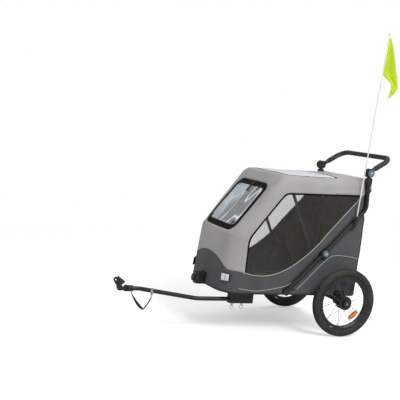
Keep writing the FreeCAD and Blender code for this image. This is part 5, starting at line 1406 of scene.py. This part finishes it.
def nurbs_line(name, route):
    """Points along the smooth curve that a route's points pull into shape."""
    curve = bpy.data.curves.new(name, "CURVE")
    curve.dimensions = "3D"
    spline = curve.splines.new("NURBS")
    spline.points.add(len(route) - 1)
    for target, spot in zip(spline.points, route):
        target.co = (*spot, 1.0)
    spline.order_u = 3
    spline.use_endpoint_u = True
    spline.resolution_u = STRAP_FINENESS
    maker = bpy.data.objects.new(name, curve)
    line = [vert.co.copy() for vert in bpy.data.meshes.new_from_object(maker).vertices]
    bpy.data.objects.remove(maker)
    return line


strap_path = [spot / MM for spot in nurbs_line("strap_route", STRAP_ROUTE)]
strap_length = sum((b - a).length for a, b in zip(strap_path, strap_path[1:])) * MM
strap_end = len(strap_path) - 1
bm = bmesh.new()
bmesh.ops.create_grid(bm, x_segments=strap_end, y_segments=STRAP_ROWS, size=1.0)
lay_map(bm, lambda co: ((co.x + 1) / 2 * strap_length, co.y * STRAP_WIDTH / 2 * MM))
for vert in bm.verts:
    step = round((vert.co.x + 1) / 2 * strap_end)
    along = strap_path[min(step + 1, strap_end)] - strap_path[max(step - 1, 0)]
    turn = STRAP_TWIST * math.sin(math.pi * min(step / strap_end / TWIST_END, 1.0))
    across = Matrix.Rotation(turn, 3, along.normalized()) @ STRAP_ACROSS
    vert.co = strap_path[step] + across * (vert.co.y * STRAP_WIDTH / 2)
bmesh.ops.recalc_face_normals(bm, faces=bm.faces)
strap = make_piece(bm, "safety_webbing", [paint_webbing()], "chassis")
thicken(strap, STRAP_THICKNESS, 0.0)
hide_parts("safety_strap")
print("strap:", round(strap_length, 3), "m")

# %% [markdown]
# ## Hitch cover
# The arm at the front of the hitch sits in a chunky moulded cover. One face with the cover's side
# outline is extruded across the hitch, and its edges are rounded with a bevel. It rides on the hitch's
# head.

# %% Cover
COVER_OUTLINE = ((1284, 271), (1299, 257), (1288, 241), (1282, 230), (1291, 210), (1287, 200),
                 (1262, 198), (1266, 229), (1253, 238), (1249, 246))
COVER_SIDES, COVER_EDGE = (91.0, 119.0), 2.5
bm = bmesh.new()
side = bm.faces.new([bm.verts.new((x, COVER_SIDES[0], z)) for x, z in COVER_OUTLINE])
drawn = bmesh.ops.extrude_face_region(bm, geom=[side])["geom"]
moved = [item for item in drawn if isinstance(item, bmesh.types.BMVert)]
bmesh.ops.translate(bm, verts=moved, vec=(0, COVER_SIDES[1] - COVER_SIDES[0], 0))
bmesh.ops.bevel(
    bm, geom=bm.edges[:], offset=COVER_EDGE, segments=3, profile=0.5, affect="EDGES", material=-1)
bmesh.ops.recalc_face_normals(bm, faces=bm.faces)
cover = make_piece(bm, "hitch_cover", [black_plastic], "hitch_head", sharp=35)
print("hitch cover:", len(cover.data.polygons), "faces")

# %% [markdown]
# ## Small fittings
# The things a hand touches are small but give the trailer its scale: a pull strap and zip pulls on the
# front window, two clamps on each handle post, and the pale caps of the press buttons. They are bevelled
# boxes and turned discs, each on the body that carries it.

# %% Window pulls
SLOPE, BOW_HALF = math.atan2(SHOULDER - CREASE, FRONT_CREASE - FRONT_TOP), 190.0
STRAP_PULL, STRAP_BAR = ((2.4, 22, 66), (26, 798, 8.0), 0.8), ((5.0, 26, 9), (26, 829, 6.0), 1.5)
ZIP_SLIDER, ZIP_TAB, ZIP_DROP = ((4.5, 9, 22), 5.0, 1.5), ((3.0, 5, 16), 6.5, 1.0), 15
ZIP_PLACES = ((-128, 812), (128, 812), (-150, 604), (150, 604))


def on_slant(across, height, proud):
    """A frame on the sloping front: X out of the cloth, Z up the slope."""
    run = FRONT_CREASE + (FRONT_TOP - FRONT_CREASE) * (height - CREASE) / (SHOULDER - CREASE)
    bow = FRONT_BOW * max(0.0, 1 - (across / BOW_HALF) ** 2)
    spot = Vector((run + bow, across, height))
    lean = Matrix.Rotation(SLOPE - math.pi / 2, 4, "Y")
    return Matrix.Translation(spot) @ lean @ Matrix.Translation((proud, 0, 0))


def boxes_piece(name, boxes, paint, body):
    """Several bevelled boxes as one piece: each a size, a frame to stand in and a bevel."""
    bm = bmesh.new()
    for size, place, round_by in boxes:
        part = bmesh.new()
        box_into(part, size, (0, 0, 0), round_by)
        add_part(bm, part, place)
    return make_piece(bm, name, [paint], body, sharp=40)


pulls = [(size, on_slant(*place), round_by) for size, place, round_by in (STRAP_PULL, STRAP_BAR)]
for across, height in ZIP_PLACES:
    for (size, proud, round_by), drop in ((ZIP_SLIDER, 0), (ZIP_TAB, ZIP_DROP)):
        pulls.append((size, on_slant(across, height - drop, proud), round_by))
crumple(boxes_piece("window_pulls", pulls, black_plastic, "front_window"))
print("window pulls:", len(pulls), "boxes")

# %% Post clamps
POST_SIDE = 272.0
CLAMPS = ((46, (33, 31, 36), 5.0), (70, (28, 27, 14), 3.0))
post = (HANDLE - Vector((KNEE[0], 0, KNEE[1]))).normalized()
post_lean = Matrix.Rotation(math.atan2(post.x, post.z), 4, "Y")
clamps = []
for side in SIDES.values():
    for down, size, round_by in CLAMPS:
        place = Matrix.Translation(HANDLE + Vector((0, side * POST_SIDE, 0)) - post * down)
        clamps.append((size, place @ post_lean, round_by))
boxes_piece("post_clamps", clamps, black_plastic, "upper_frame")
print("post clamps:", len(clamps), "boxes")

# %% Button caps
CAP_RADIUS, CAP_DEPTH, CAP_ROUND, CAP_SIDES = 8.0, 2.4, 0.8, 48


def disc_into(bm, centre, axis):
    """A turned disc with a soft rim."""
    aim = Vector(axis).to_track_quat("Z", "Y").to_matrix().to_4x4()
    bmesh.ops.create_cone(
        bm, cap_ends=True, segments=CAP_SIDES, radius1=CAP_RADIUS, radius2=CAP_RADIUS, depth=CAP_DEPTH,
        matrix=Matrix.Translation(centre) @ aim)
    rims = [edge for edge in bm.edges if any(len(face.verts) == CAP_SIDES for face in edge.link_faces)]
    bmesh.ops.bevel(
        bm, geom=rims, offset=CAP_ROUND, offset_type="OFFSET", segments=2, profile=0.5, affect="EDGES",
        material=-1)


button_pale = paint_moulded("button_pale", tint("#8FA3AE"), tint("#A3B5BE"), 0.3)
for side_name, side in SIDES.items():
    for kind, (x, z) in (("fold", FOLD), ("handle", TOP_HINGE)):
        button = f"{side_name}_{kind}_button"
        low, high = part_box(button)
        outer = max(abs(low[1]), abs(high[1])) / MM
        bm = bmesh.new()
        disc_into(bm, Vector((x, side * outer, z)), (0, side, 0))
        make_piece(bm, f"{side_name}_{kind}_cap", [button_pale], button, sharp=40)
print("caps on", len(SIDES) * 2, "buttons")
